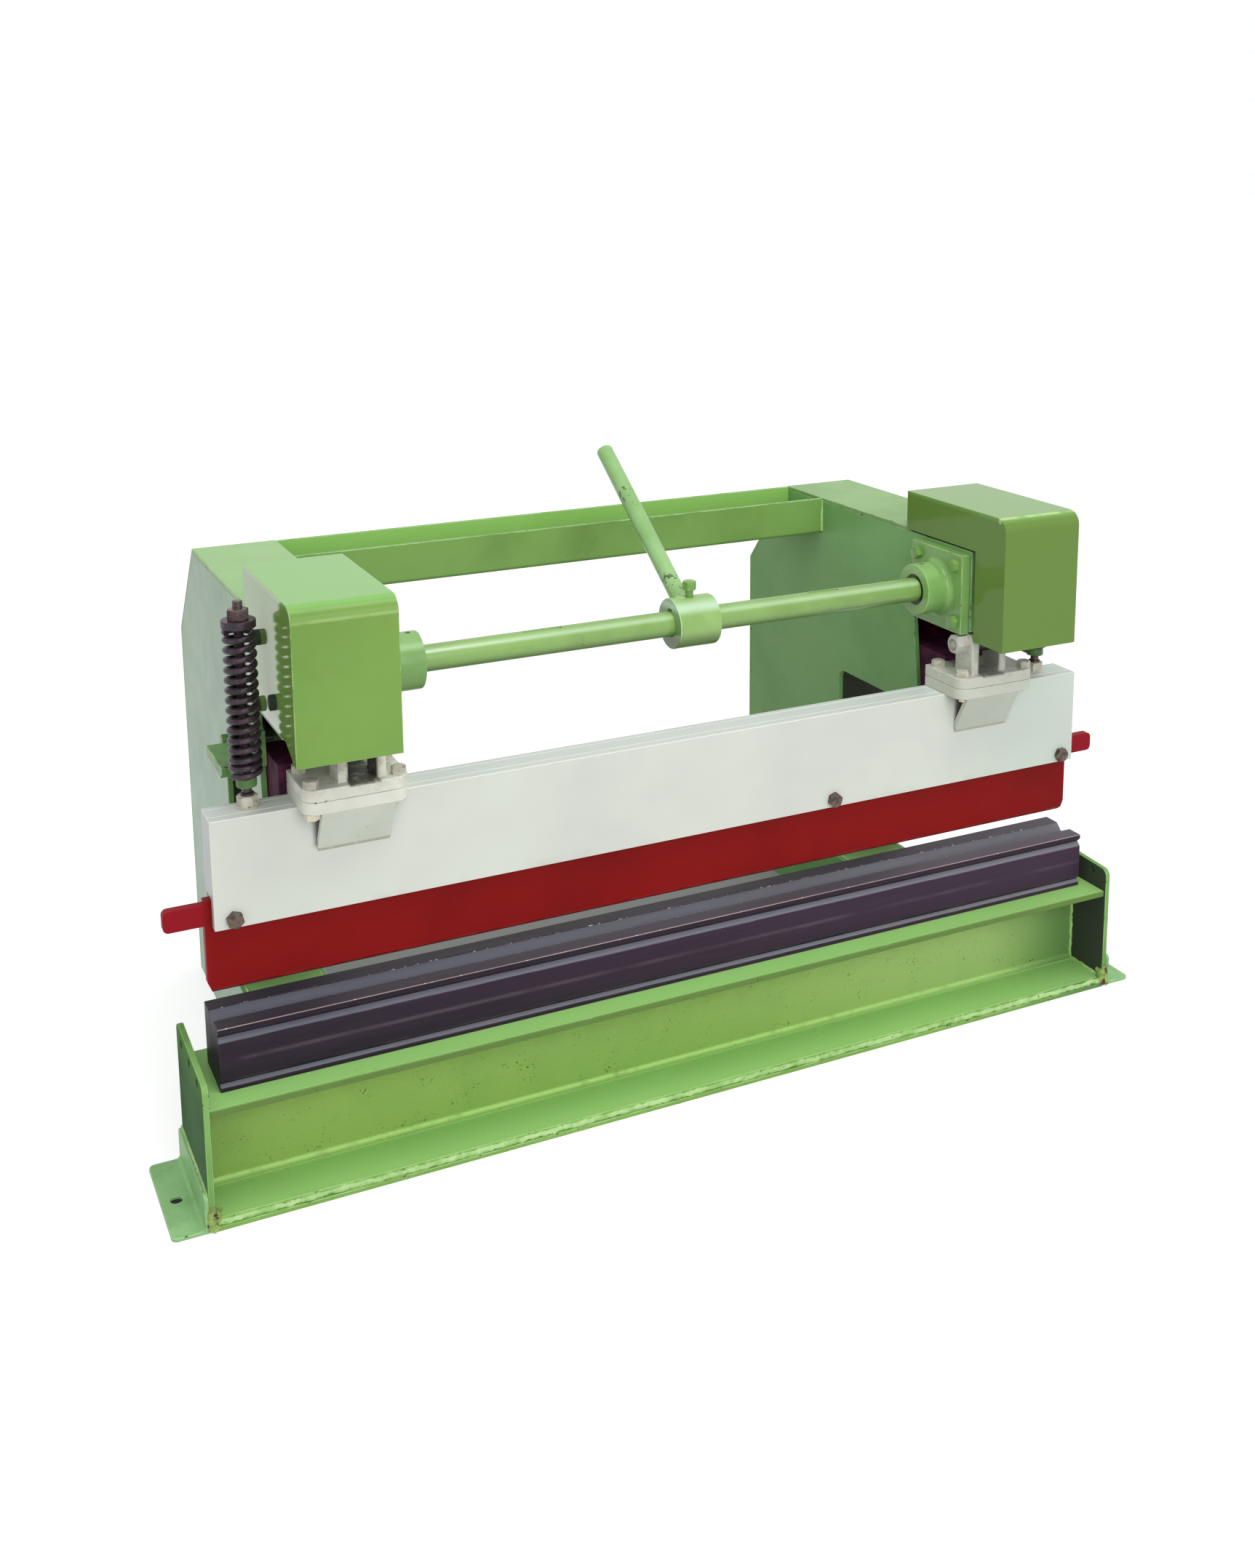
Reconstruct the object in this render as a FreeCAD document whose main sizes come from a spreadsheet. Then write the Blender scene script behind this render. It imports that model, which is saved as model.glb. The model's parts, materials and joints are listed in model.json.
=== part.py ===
import FreeCAD, Part
import math
import os
from types import SimpleNamespace

import Sketcher
from FreeCAD import Placement, Rotation, Vector

# Hand-operated folding press for sheet metal. Millimetres, +X along the blade to the
# operator's right, +Y away from the operator, +Z up. The origin is on the floor, midway
# between the two foot bolts and under the bending line.

DRIVING = {
    # base: a wide-flange beam on a plate, closed by two end plates on angle feet
    "beam_length": 1362,
    "beam_height": 150,
    "beam_width": 150,
    "beam_web": 8,
    "beam_flange": 9,
    "beam_root": 9,
    "base_plate_width": 160,
    "base_plate_thick": 6,
    "end_plate_thick": 8,
    "end_plate_front": 77.5,
    "end_plate_width": 162,
    "end_plate_height": 190,
    "end_plate_rise": 8,
    "end_plate_corner": 11,
    "end_hole_bore": 9,
    "end_hole_pitch": 50,
    "end_hole_drop": 9,
    "foot_length": 167,
    "foot_front": 79,
    "foot_leg": 45,
    "foot_upright": 50,
    "foot_thick": 5,
    "foot_corner": 8,
    "foot_hole_bore": 15,
    "foot_hole_inset": 25.5,
    # die: one bar with its bending vee on top and two small vees in front
    "die_inset": 21,
    "die_width": 80,
    "die_height": 83,
    "vee_width": 30,
    "upper_groove_width": 12,
    "upper_groove_drop": 12.4,
    "lower_groove_width": 8.8,
    "lower_groove_rise": 10,
    # side frames: two C-shaped plates each, with a folded cover and a throat plate
    "frame_inset": 240,
    "frame_width": 123,
    "frame_plate": 8,
    "frame_head": 64,
    "frame_back": 604,
    "frame_top_back": 479,
    "frame_slope_drop": 147,
    "frame_arm_front": 37,
    "frame_arm_drop": 56,
    "frame_neck_front": 86,
    "frame_neck_top": 104,
    "throat_rise": 82,
    "throat_back": 309,
    "throat_radius": 15,
    "jaw_height": 110,
    "cover_thick": 6,
    "cover_front": 116,
    "throat_plate_thick": 6,
    "spacer_radius": 11,
    "spacer_thread": 30,
    "spacer_inset": 11,
    "spacer_rise": 44,
    "channel_front": 368,
    "channel_depth": 114,
    "channel_height": 59,
    "channel_rise": 5,
    "channel_wall": 6,
    # hoods over the eccentrics
    "hood_sheet": 3,
    "hood_front": 116,
    "hood_back": 122,
    "hood_rise": 62,
    "hood_height": 192.5,
    "hood_rear_height": 174,
    "hood_slope_front": 108,
    "hood_slope_back": 69,
    "hood_notch_front": 48,
    "hood_notch_rise": 3,
    "hood_bend": 20,
    # drive shaft, its bearings and the handle
    "shaft_back": 28,
    "link_rise": 74,
    "shaft_radius": 17.5,
    "shaft_end_gap": 3,
    "running_gap": 0.05,
    "bearing_width": 124,
    "bearing_height": 118,
    "bearing_flange": 15,
    "bearing_boss_radius": 37.5,
    "left_boss_length": 55,
    "right_boss_length": 39,
    "bearing_root": 9,
    "bearing_bolt_side": 46,
    "bearing_bolt_rise": 42,
    "bush_wall": 5,
    "oil_hole_bore": 6,
    "oil_hole_inset": 13,
    "outer_bearing_radius": 63,
    "outer_bearing_boss": 20,
    "outer_bolt_circle": 54,
    "outer_bolt_angle": 72,
    "bolt_shank": 10,
    "bolt_flats": 17,
    "bolt_head": 8,
    "key_width": 10,
    "key_height": 8,
    "key_sunk": 5,
    "key_gap": 0.3,
    "keyway_left_start": 228,
    "keyway_left_end": 173,
    "keyway_right_start": 205,
    "keyway_right_end": 256,
    "hub_left": 13,
    "hub_right": 50,
    "hub_radius": 35,
    "handle_place": 20,
    "handle_radius": 12.3,
    "handle_reach": 341,
    "handle_angle": 34.5,
    "screw_place": 17,
    "screw_neck": 10,
    "screw_head": 12,
    # eccentrics and links
    "throw": 20,
    "link_inset": 29,
    "link_thick": 33,
    "eccentric_radius": 52,
    "eccentric_hub_radius": 23.5,
    "eccentric_hub_length": 28,
    "strap_wall": 12,
    "shank_width": 44,
    "shank_root": 42,
    "pin_front": 26,
    "pin_rise": 44,
    "pin_radius": 8,
    "eye_wall": 7,
    "eye_gap": 1,
    "seat_gap": 0.3,
    # ram: a welded box that clamps the blade
    "ram_inset": 7.5,
    "ram_front": 20,
    "ram_depth": 50,
    "ram_height": 140,
    "ram_front_thick": 14,
    "ram_back_thick": 10,
    "ram_top_thick": 10,
    "ram_end_thick": 8,
    "backing_height": 20,
    "blade_thick": 12,
    "blade_overhang": 4.5,
    "blade_shift": 5,
    "blade_gap": 31,
    "blade_drop": 86,
    "blade_sunk": 36,
    "blade_bevel": 5,
    "blade_tip_cut": 6,
    "blade_tip_rise": 15,
    "ear_length": 49,
    "ear_rise": 3,
    "ear_height": 28,
    "ear_corner": 7,
    "clamp_bolt_shank": 12,
    "clamp_bolt_flats": 19,
    "clamp_bolt_rise": 12,
    "clamp_bolt_left": 24.5,
    "clamp_bolt_middle": 224,
    "clamp_bolt_right": 22.5,
    "guide_depth": 90,
    "guide_height": 90,
    "guide_drop": 51,
    "guide_gap": 0.5,
    # clevises on the ram
    "clevis_inset": 38,
    "clevis_width": 134,
    "clevis_front": 58,
    "clevis_plate": 16,
    "clevis_corner": 18,
    "lug_gap": 35,
    "lug_thick": 13,
    "lug_width": 40,
    "lug_head": 14.5,
    "lug_corner": 14,
    "pin_head_flats": 25,
    "pin_head_length": 20,
    "gusset_gap": 1,
    "gusset_top_front": 53,
    "gusset_drop": 62,
    "gusset_thick": 9,
    "clevis_bolt_side": 55,
    "clevis_bolt_front": 45,
    "clevis_bolt_back": 14,
    "clevis_bolt_head": 10,
    "clevis_nut": 8,
    "clevis_tip": 6,
    # return springs
    "rod_offset": 35,
    "rod_back": 10,
    "rod_radius": 6,
    "rod_tip": 10,
    "rod_foot_flats": 23,
    "rod_foot_height": 16,
    "stop_ring_radius": 11,
    "stop_ring_height": 4,
    "collar_radius": 12.5,
    "collar_rise": 27,
    "collar_height": 12,
    "collar_bore": 15,
    "spring_radius": 16.2,
    "spring_wire": 9,
    "spring_length": 188,
    "spring_turns": 15,
    "spring_end_pitch": 9.6,
    "closed_turns_low": 2,
    "closed_turns_high": 1,
    "washer_radius": 21,
    "washer_thick": 10,
    "rod_nut_flats": 24,
    "rod_nut_height": 13,
    "bracket_reach": 57,
    "bracket_front": 52,
    "bracket_length": 90,
    "bracket_thick": 8,
    "bracket_lip": 12,
    "bracket_lip_drop": 6,
    "bracket_upright": 40,
    "bracket_bolt_inset": 22.5,
    "bracket_bolt_rise": 22,
    "tongue_width": 18,
}


class Size:
    """A length, together with the sheet formula that gives it."""

    def __init__(self, value, formula):
        self.value = value
        self.formula = formula

    def __float__(self):
        return float(self.value)

    def __neg__(self):
        return Size(-self.value, "(-%s)" % self.formula)

    def __add__(self, other):
        other = sized(other)
        return Size(self.value + other.value, "(%s + %s)" % (self.formula, other.formula))

    def __sub__(self, other):
        other = sized(other)
        return Size(self.value - other.value, "(%s - %s)" % (self.formula, other.formula))

    def __mul__(self, other):
        other = sized(other)
        return Size(self.value * other.value, "(%s * %s)" % (self.formula, other.formula))

    def __truediv__(self, other):
        other = sized(other)
        return Size(self.value / other.value, "(%s / %s)" % (self.formula, other.formula))

    def __radd__(self, other):
        return sized(other) + self

    def __rsub__(self, other):
        return sized(other) - self

    def __rmul__(self, other):
        return sized(other) * self


def sized(item):
    return item if isinstance(item, Size) else Size(float(item), "%.6f" % float(item))


doc = FreeCAD.newDocument("folding_press")
sheet = doc.addObject("Spreadsheet::Sheet", "sizes")
for row, (alias, number) in enumerate(DRIVING.items(), 1):
    sheet.set("A%d" % row, str(number))
    sheet.setAlias("A%d" % row, alias)
doc.recompute()
cell = SimpleNamespace(**{alias: Size(sheet.get(alias), "sizes." + alias) for alias in DRIVING})

SIDES = (("left", -1), ("right", 1))
TURN = {
    "X": Rotation(Vector(0, 1, 0), 90),
    "Y": Rotation(Vector(1, 0, 0), -90),
    "Z": Rotation(),
}
ZERO = sized(0)
HEX_REACH = 1 / math.sqrt(3)
subparts = []


def keep(item, name):
    """Names a finished sub-part and sets it down for writing."""
    item.Label = name
    subparts.append(item)
    return item


def place(item, x, y, z):
    for axis, spot in zip("xyz", (x, y, z)):
        item.setExpression("Placement.Base." + axis, sized(spot).formula)


def across(side, inner, outer):
    """The X range between two distances from the middle, on one side of the press."""
    return (inner, outer) if side > 0 else (-outer, -inner)


def block(x, y, z):
    """A rectangular plate or bar between two places on each axis."""
    made = doc.addObject("Part::Box", "block")
    for length, (low, high) in zip(("Length", "Width", "Height"), (x, y, z)):
        made.setExpression(length, (sized(high) - sized(low)).formula)
    place(made, x[0], y[0], z[0])
    return made


def rod(axis, start, length, radius):
    """A round bar or drill that starts at a point and runs along one axis."""
    made = doc.addObject("Part::Cylinder", "rod")
    made.Placement = Placement(Vector(), TURN[axis])
    made.setExpression("Radius", sized(radius).formula)
    made.setExpression("Height", sized(length).formula)
    place(made, *start)
    return made


def rod_between(side, inner, outer, y, z, radius):
    """A round bar along X between two distances from the middle."""
    low, high = across(side, sized(inner), sized(outer))
    return rod("X", (low, y, z), high - low, radius)


def hexagon(axis, start, height, flats):
    """A hexagon head or nut blank that starts at a point and runs along one axis."""
    made = doc.addObject("Part::Prism", "hexagon")
    made.Polygon = 6
    made.Placement = Placement(Vector(), TURN[axis])
    made.setExpression("Circumradius", (flats * HEX_REACH).formula)
    made.setExpression("Height", sized(height).formula)
    place(made, *start)
    return made


def join(*items):
    made = doc.addObject("Part::MultiFuse", "join")
    made.Shapes = list(items)
    made.Refine = True
    return made


def group(*items):
    made = doc.addObject("Part::Compound", "group")
    made.Links = list(items)
    return made


def cut(base, *tools):
    made = doc.addObject("Part::Cut", "cut")
    made.Base = base
    made.Tool = tools[0] if len(tools) == 1 else group(*tools)
    return made


def plate(role, points, start, thick):
    """A body padded from an outline whose corners are held to the sheet.

    role is the origin plane of the sketch: YZ_Plane pads along +X, XY_Plane along +Z and
    XZ_Plane lies across Y. start is the low end of the pad."""
    body = doc.addObject("PartDesign::Body", "plate")
    plane = next(item for item in body.Origin.OriginFeatures if item.Role == role)
    sketch = body.newObject("Sketcher::SketchObject", "outline")
    sketch.AttachmentSupport = (plane, [""])
    sketch.MapMode = "FlatFace"
    start, thick = sized(start), sized(thick)
    offset = -(start + thick) if role == "XZ_Plane" else start
    sketch.setExpression("AttachmentOffset.Base.z", offset.formula)
    corners = [(sized(u), sized(v)) for u, v in points]
    count = len(corners)
    spots = [Vector(float(u), float(v), 0) for u, v in corners]
    lines = [Part.LineSegment(spots[i], spots[(i + 1) % count]) for i in range(count)]
    sketch.addGeometry(lines, False)
    joints = [Sketcher.Constraint("Coincident", i, 2, (i + 1) % count, 1) for i in range(count)]
    sketch.addConstraint(joints)
    for index, corner in enumerate(corners):
        for kind, spot in zip(("DistanceX", "DistanceY"), corner):
            held = Sketcher.Constraint(kind, -1, 1, index, 1, float(spot))
            number = sketch.addConstraint(held)
            sketch.setExpression("Constraints[%d]" % number, spot.formula)
    pad = body.newObject("PartDesign::Pad", "pad")
    pad.Profile = sketch
    pad.setExpression("Length", thick.formula)
    body.Tip = pad
    return body


def edges_through(shape, axes, spots):
    """The names of the straight edges that pass square through the given spots."""
    found = []
    for number, edge in enumerate(shape.Edges, 1):
        ends = [vertex.Point for vertex in edge.Vertexes]
        if len(ends) != 2 or not isinstance(edge.Curve, Part.Line):
            continue
        for spot in spots:
            near = [abs(getattr(end, axis) - float(at)) < 0.01
                    for end in ends for axis, at in zip(axes, spot)]
            if all(near):
                found.append("Edge%d" % number)
    return found


def rounded(body, axes, spots, radius):
    """Rounds a body's edges that run square to the two axes through the given spots."""
    doc.recompute()
    base = body.Tip
    names = edges_through(base.Shape, axes, spots)
    if len(names) < len(spots):
        raise ValueError("an edge to round is missing")
    made = body.newObject("PartDesign::Fillet", "rounding")
    made.Base = (base, names)
    made.setExpression("Radius", radius.formula)
    body.Tip = made
    return body


# heights and places that several pieces share, from the floor up and from the middle out
base_top = cell.base_plate_thick + cell.beam_height
die_top = base_top + cell.die_height
blade_low = die_top + cell.blade_gap
ram_low = blade_low + cell.blade_drop
ram_top = ram_low + cell.ram_height
seam = ram_top + cell.clevis_plate
clevis_top = seam + cell.clevis_plate
pin_height = clevis_top + cell.pin_rise
shaft_height = pin_height + cell.link_rise
frame_top = shaft_height + cell.frame_head
beam_end = cell.beam_length / 2
die_end = beam_end - cell.die_inset
ram_end = die_end - cell.ram_inset
frame_inner = beam_end - cell.frame_inset
frame_outer = frame_inner + cell.frame_width
inner_wall = frame_inner + cell.frame_plate
outer_wall = frame_outer - cell.frame_plate
link_centre = frame_inner + cell.link_inset
clevis_centre = frame_inner + cell.clevis_inset
rod_place = frame_outer + cell.rod_offset

# base
def beam_outline():
    half, web = cell.beam_width / 2, cell.beam_web / 2
    low, high = cell.base_plate_thick, base_top
    shelf, roof = low + cell.beam_flange, high - cell.beam_flange
    return [(-half, low), (half, low), (half, shelf), (web, shelf), (web, roof), (half, roof),
            (half, high), (-half, high), (-half, roof), (-web, roof), (-web, shelf), (-half, shelf)]


def base_beam():
    points = beam_outline()
    beam = plate("YZ_Plane", points, -beam_end, cell.beam_length)
    roots = [points[3], points[4], points[9], points[10]]
    return rounded(beam, "yz", roots, cell.beam_root)


def base_plate():
    half = cell.base_plate_width / 2
    return block((-beam_end, beam_end), (-half, half), (ZERO, cell.base_plate_thick))


def end_plate(side):
    front = -cell.end_plate_front
    back = front + cell.end_plate_width
    high = cell.end_plate_height
    outer = beam_end + cell.end_plate_thick
    low, _ = across(side, beam_end, outer)
    points = [(front, ZERO), (back, ZERO), (back, high + cell.end_plate_rise), (front, high)]
    made = plate("YZ_Plane", points, low, cell.end_plate_thick)
    made = rounded(made, "yz", [points[2], points[3]], cell.end_plate_corner)
    middle = (front + back) / 2
    drills = [rod_between(side, beam_end, outer, middle + step * cell.end_hole_pitch,
                          high - cell.end_hole_drop, cell.end_hole_bore / 2) for step in (-1, 0, 1)]
    return cut(made, *drills)


foot_inner = beam_end + cell.end_plate_thick
foot_outer = foot_inner + cell.foot_leg


def foot_angle(side):
    def at(reach):
        return reach if side > 0 else -reach
    thick = cell.foot_thick
    points = [(at(foot_inner), ZERO), (at(foot_outer), ZERO), (at(foot_outer), thick),
              (at(foot_inner + thick), thick), (at(foot_inner + thick), cell.foot_upright),
              (at(foot_inner), cell.foot_upright)]
    made = plate("XZ_Plane", points, -cell.foot_front, cell.foot_length)
    front = -cell.foot_front
    back = front + cell.foot_length
    made = rounded(made, "xy", [(at(foot_outer), front), (at(foot_outer), back)], cell.foot_corner)
    tops = [(front, cell.foot_upright), (back, cell.foot_upright)]
    made = rounded(made, "yz", tops, cell.foot_corner)
    made = rounded(made, "xz", [points[3]], thick)
    bolt = foot_inner + cell.foot_hole_inset
    return cut(made, rod("Z", (at(bolt), ZERO, ZERO), thick, cell.foot_hole_bore / 2))


# die
def die_block():
    front, back = -cell.die_width / 2, cell.die_width / 2
    vee = cell.vee_width / 2
    lower, lower_deep = base_top + cell.lower_groove_rise, cell.lower_groove_width / 2
    upper, upper_deep = die_top - cell.upper_groove_drop, cell.upper_groove_width / 2
    points = [(front, base_top),
              (front, lower - lower_deep), (front + lower_deep, lower), (front, lower + lower_deep),
              (front, upper - upper_deep), (front + upper_deep, upper), (front, upper + upper_deep),
              (front, die_top), (-vee, die_top), (ZERO, die_top - vee), (vee, die_top),
              (back, die_top), (back, base_top)]
    return plate("YZ_Plane", points, -die_end, die_end * 2)


# side frames
shaft_at = (cell.shaft_back, shaft_height)
arm_low = shaft_height - cell.frame_arm_drop
slope_foot = frame_top - cell.frame_slope_drop
throat_top = ram_low + cell.throat_rise
spacer_at = (cell.throat_back - cell.spacer_inset, throat_top + cell.spacer_rise)


def frame_outline():
    web = cell.beam_web / 2
    shelf = cell.base_plate_thick + cell.beam_flange
    relief = cell.beam_root
    plate_back = cell.base_plate_width / 2
    return [(web, shelf + relief), (web + relief, shelf), (plate_back, shelf), (plate_back, ZERO),
            (cell.frame_back, ZERO), (cell.frame_back, slope_foot),
            (cell.frame_top_back, frame_top), (-cell.frame_arm_front, frame_top),
            (-cell.frame_arm_front, arm_low), (cell.frame_neck_top, arm_low),
            (cell.frame_neck_front, throat_top), (cell.throat_back, throat_top),
            (cell.throat_back, cell.jaw_height), (web, cell.jaw_height)]


def bearing_bolt_places():
    return [(cell.shaft_back + y * cell.bearing_bolt_side, shaft_height + z * cell.bearing_bolt_rise)
            for y in (-1, 1) for z in (-1, 1)]


def outer_bolt_places():
    """Three places on a circle round the shaft."""
    places = []
    for third in range(3):
        angle = math.radians(float(cell.outer_bolt_angle) + 120 * third)
        places.append((cell.shaft_back + cell.outer_bolt_circle * math.cos(angle),
                       shaft_height + cell.outer_bolt_circle * math.sin(angle)))
    return places


def frame_plate(side, inner, outer, drills):
    low, _ = across(side, inner, outer)
    points = frame_outline()
    made = plate("YZ_Plane", points, low, cell.frame_plate)
    made = rounded(made, "yz", [points[11]], cell.throat_radius)
    return cut(made, *drills)


def inner_frame_plate(side):
    bolt = cell.bolt_shank / 2
    inner, outer = frame_inner, inner_wall
    drills = [rod_between(side, inner, outer, y, z, bolt) for y, z in bearing_bolt_places()]
    bush = cell.shaft_radius + cell.bush_wall
    drills.append(rod_between(side, inner, outer, *shaft_at, bush))
    return frame_plate(side, inner, outer, drills)


def outer_frame_plate(side):
    bolt = cell.bolt_shank / 2
    inner, outer = outer_wall, frame_outer
    places = outer_bolt_places() + [spacer_at]
    places += bracket_bolt_places()
    drills = [rod_between(side, inner, outer, y, z, bolt) for y, z in places]
    return frame_plate(side, inner, outer, drills)


def rear_cover(side):
    thick = cell.cover_thick
    top, back = frame_top, cell.frame_back
    slope = math.atan2(float(top - slope_foot), float(back - cell.frame_top_back))
    top_mitre = thick * math.tan(slope / 2)
    back_mitre = thick * math.tan((math.pi / 2 - slope) / 2)
    points = [(cell.cover_front, top), (cell.frame_top_back, top), (back, slope_foot),
              (back, ZERO), (back + thick, ZERO), (back + thick, slope_foot + back_mitre),
              (cell.frame_top_back + top_mitre, top + thick), (cell.cover_front, top + thick)]
    low, _ = across(side, frame_inner, frame_outer)
    made = plate("YZ_Plane", points, low, cell.frame_width)
    return rounded(made, "yz", [points[5], points[6]], thick)


def throat_plate(side):
    back = cell.throat_back
    return block(across(side, inner_wall, outer_wall), (back, back + cell.throat_plate_thick),
                 (cell.jaw_height, throat_top))


def spacer(side):
    """The bar between two frame plates, behind the throat."""
    return rod_between(side, inner_wall, outer_wall, *spacer_at, cell.spacer_radius)


def tie_channel():
    front, back = cell.channel_front, cell.channel_front + cell.channel_depth
    high, wall = frame_top + cell.channel_rise, cell.channel_wall
    low = high - cell.channel_height
    points = [(front, low), (back, low), (back, high), (back - wall, high),
              (back - wall, low + wall), (front + wall, low + wall), (front + wall, high), (front, high)]
    made = plate("YZ_Plane", points, -frame_inner, frame_inner * 2)
    return rounded(made, "yz", [points[0], points[1]], wall)


# hoods
hood_top = frame_top + cell.hood_rise
hood_low = hood_top - cell.hood_height


def hood(side):
    sheet_thick = cell.hood_sheet
    front, back, top = -cell.hood_front, cell.hood_back, hood_top
    rear_low, notch_top = top - cell.hood_rear_height, frame_top + cell.hood_notch_rise
    inner, outer = frame_inner - sheet_thick, frame_outer + sheet_thick
    shell = [(front, hood_low), (front + sheet_thick, hood_low),
             (front + sheet_thick, top - sheet_thick), (back, top - sheet_thick), (back, top),
             (front, top)]
    low, _ = across(side, frame_inner, frame_outer)
    folded = plate("YZ_Plane", shell, low, cell.frame_width)
    folded = rounded(folded, "yz", [shell[5]], cell.hood_bend)
    folded = rounded(folded, "yz", [shell[2]], cell.hood_bend - sheet_thick)
    wide = [(front, hood_low), (-cell.hood_slope_front, hood_low),
            (-cell.hood_slope_back, rear_low), (back, rear_low), (back, top),
            (front, top)]
    low, _ = across(side, frame_outer, outer)
    outside = rounded(plate("YZ_Plane", wide, low, sheet_thick), "yz", [wide[5]], cell.hood_bend)
    notch = [(front, hood_low), (-cell.hood_notch_front, hood_low),
             (-cell.hood_notch_front, notch_top), (back, notch_top),
             (back, top), (front, top)]
    low, _ = across(side, inner, frame_inner)
    inside = rounded(plate("YZ_Plane", notch, low, sheet_thick), "yz", [notch[5]], cell.hood_bend)
    rear = block(across(side, frame_inner, frame_outer), (back - sheet_thick, back),
                 (frame_top + cell.cover_thick, top - sheet_thick))
    shell_made = join(folded, outside, inside, rear)
    drills = [rod_between(side, frame_outer, outer, y, z, cell.bolt_shank / 2)
              for y, z in outer_bolt_places()]
    return cut(shell_made, *drills)


# bearings
flange_face = frame_inner - cell.bearing_flange
bush_radius = cell.shaft_radius + cell.bush_wall
bore_radius = cell.shaft_radius + cell.running_gap


def boss_end(side):
    """How far from the middle the boss of the inner bearing on one side ends."""
    return flange_face - (cell.right_boss_length if side > 0 else cell.left_boss_length)


def flanged_block(side, faces, width, height, boss_to, boss_radius):
    """A flange between two distances from the middle, with a round boss on its free side."""
    back, up = shaft_at
    flange = block(across(side, *faces), (back - width / 2, back + width / 2),
                   (up - height / 2, up + height / 2))
    boss = rod_between(side, boss_to, faces[1], back, up, boss_radius)
    body = join(flange, boss)
    doc.recompute()
    face = float(faces[0]) * side
    rim = float(boss_radius)
    round_edges = [number for number, edge in enumerate(body.Shape.Edges, 1)
                   if isinstance(edge.Curve, Part.Circle) and abs(edge.Curve.Radius - rim) < 0.01
                   and abs(edge.Curve.Center.x - face) < 0.01]
    made = doc.addObject("Part::Fillet", "boss_root")
    made.Base = body
    root = float(cell.bearing_root)
    made.Edges = [(number, root, root) for number in round_edges]
    return made


def inner_bearing(side):
    back, up = shaft_at
    faces = (flange_face, frame_inner)
    made = flanged_block(side, faces, cell.bearing_width, cell.bearing_height, boss_end(side),
                         cell.bearing_boss_radius)
    drills = [rod_between(side, flange_face, frame_inner, y, z, cell.bolt_shank / 2)
              for y, z in bearing_bolt_places()]
    drills.append(rod_between(side, boss_end(side), frame_inner, back, up, bush_radius))
    oil = boss_end(side) + cell.oil_hole_inset
    drills.append(rod("Z", (oil * side, back, up + bush_radius), cell.bearing_boss_radius,
                      cell.oil_hole_bore / 2))
    return cut(made, *drills)


def bush(side):
    """The sleeve in one inner bearing, which reaches through the frame plate."""
    back, up = shaft_at
    inner, outer = boss_end(side) + 1, inner_wall
    return cut(rod_between(side, inner, outer, back, up, bush_radius),
               rod_between(side, inner, outer, back, up, bore_radius))


outer_flange = outer_wall - cell.bearing_flange
shaft_reach = outer_wall - cell.shaft_end_gap
outer_boss_end = outer_flange - cell.outer_bearing_boss


def outer_bearing(side):
    """The blind bearing inside the outer frame plate, which carries the shaft's end."""
    back, up = shaft_at
    flange = rod_between(side, outer_flange, outer_wall, back, up, cell.outer_bearing_radius)
    boss_radius = cell.bearing_boss_radius - cell.bush_wall
    boss = rod_between(side, outer_boss_end, outer_wall, back, up, boss_radius)
    drills = [rod_between(side, outer_flange, outer_wall, y, z, cell.bolt_shank / 2)
              for y, z in outer_bolt_places()]
    drills.append(rod_between(side, outer_boss_end, shaft_reach + 1, back, up, bore_radius))
    return cut(join(flange, boss), *drills)


def side_bolt(side, face, tip, y, z, flats, head, shank):
    """A hexagon bolt along X: its head lies outside the face and its shank ends at the tip."""
    outward = 1 if float(face) > float(tip) else -1
    if outward > 0:
        head_low, head_high, shank_low, shank_high = face, face + head, tip, face
    else:
        head_low, head_high, shank_low, shank_high = face - head, face, face, tip
    low, high = across(side, head_low, head_high)
    cap = hexagon("X", (low, y, z), high - low, flats)
    return join(cap, rod_between(side, shank_low, shank_high, y, z, shank / 2))


def bearing_bolts():
    bolts = [side_bolt(side, flange_face, inner_wall, y, z, cell.bolt_flats, cell.bolt_head,
                       cell.bolt_shank) for _, side in SIDES for y, z in bearing_bolt_places()]
    return group(*bolts)


def hood_bolts():
    """The bolts that hold each hood and outer bearing to the frame."""
    face = frame_outer + cell.hood_sheet
    bolts = [side_bolt(side, face, outer_flange, y, z, cell.bolt_flats, cell.bolt_head, cell.bolt_shank)
             for _, side in SIDES for y, z in outer_bolt_places()]
    return group(*bolts)


def frame_spacers():
    """The spacer bars and the bolts that hold them, one of each in either frame."""
    pieces = []
    for _, side in SIDES:
        tip = outer_wall - cell.spacer_thread
        drill = rod_between(side, tip, outer_wall, *spacer_at, cell.bolt_shank / 2)
        pieces.append(cut(spacer(side), drill))
        pieces.append(side_bolt(side, frame_outer, tip, *spacer_at, cell.bolt_flats, cell.bolt_head,
                                cell.bolt_shank))
    return group(*pieces)


# spring brackets
collar_low = ram_top + cell.collar_rise
bracket_top = collar_low + cell.collar_height
bracket_back = cell.bracket_front + cell.bracket_length
bracket_outer = frame_outer + cell.bracket_reach


def bracket_bolt_places():
    up, inset = bracket_top + cell.bracket_bolt_rise, cell.bracket_bolt_inset
    return [(cell.bracket_front + inset, up), (bracket_back - inset, up)]


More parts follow.
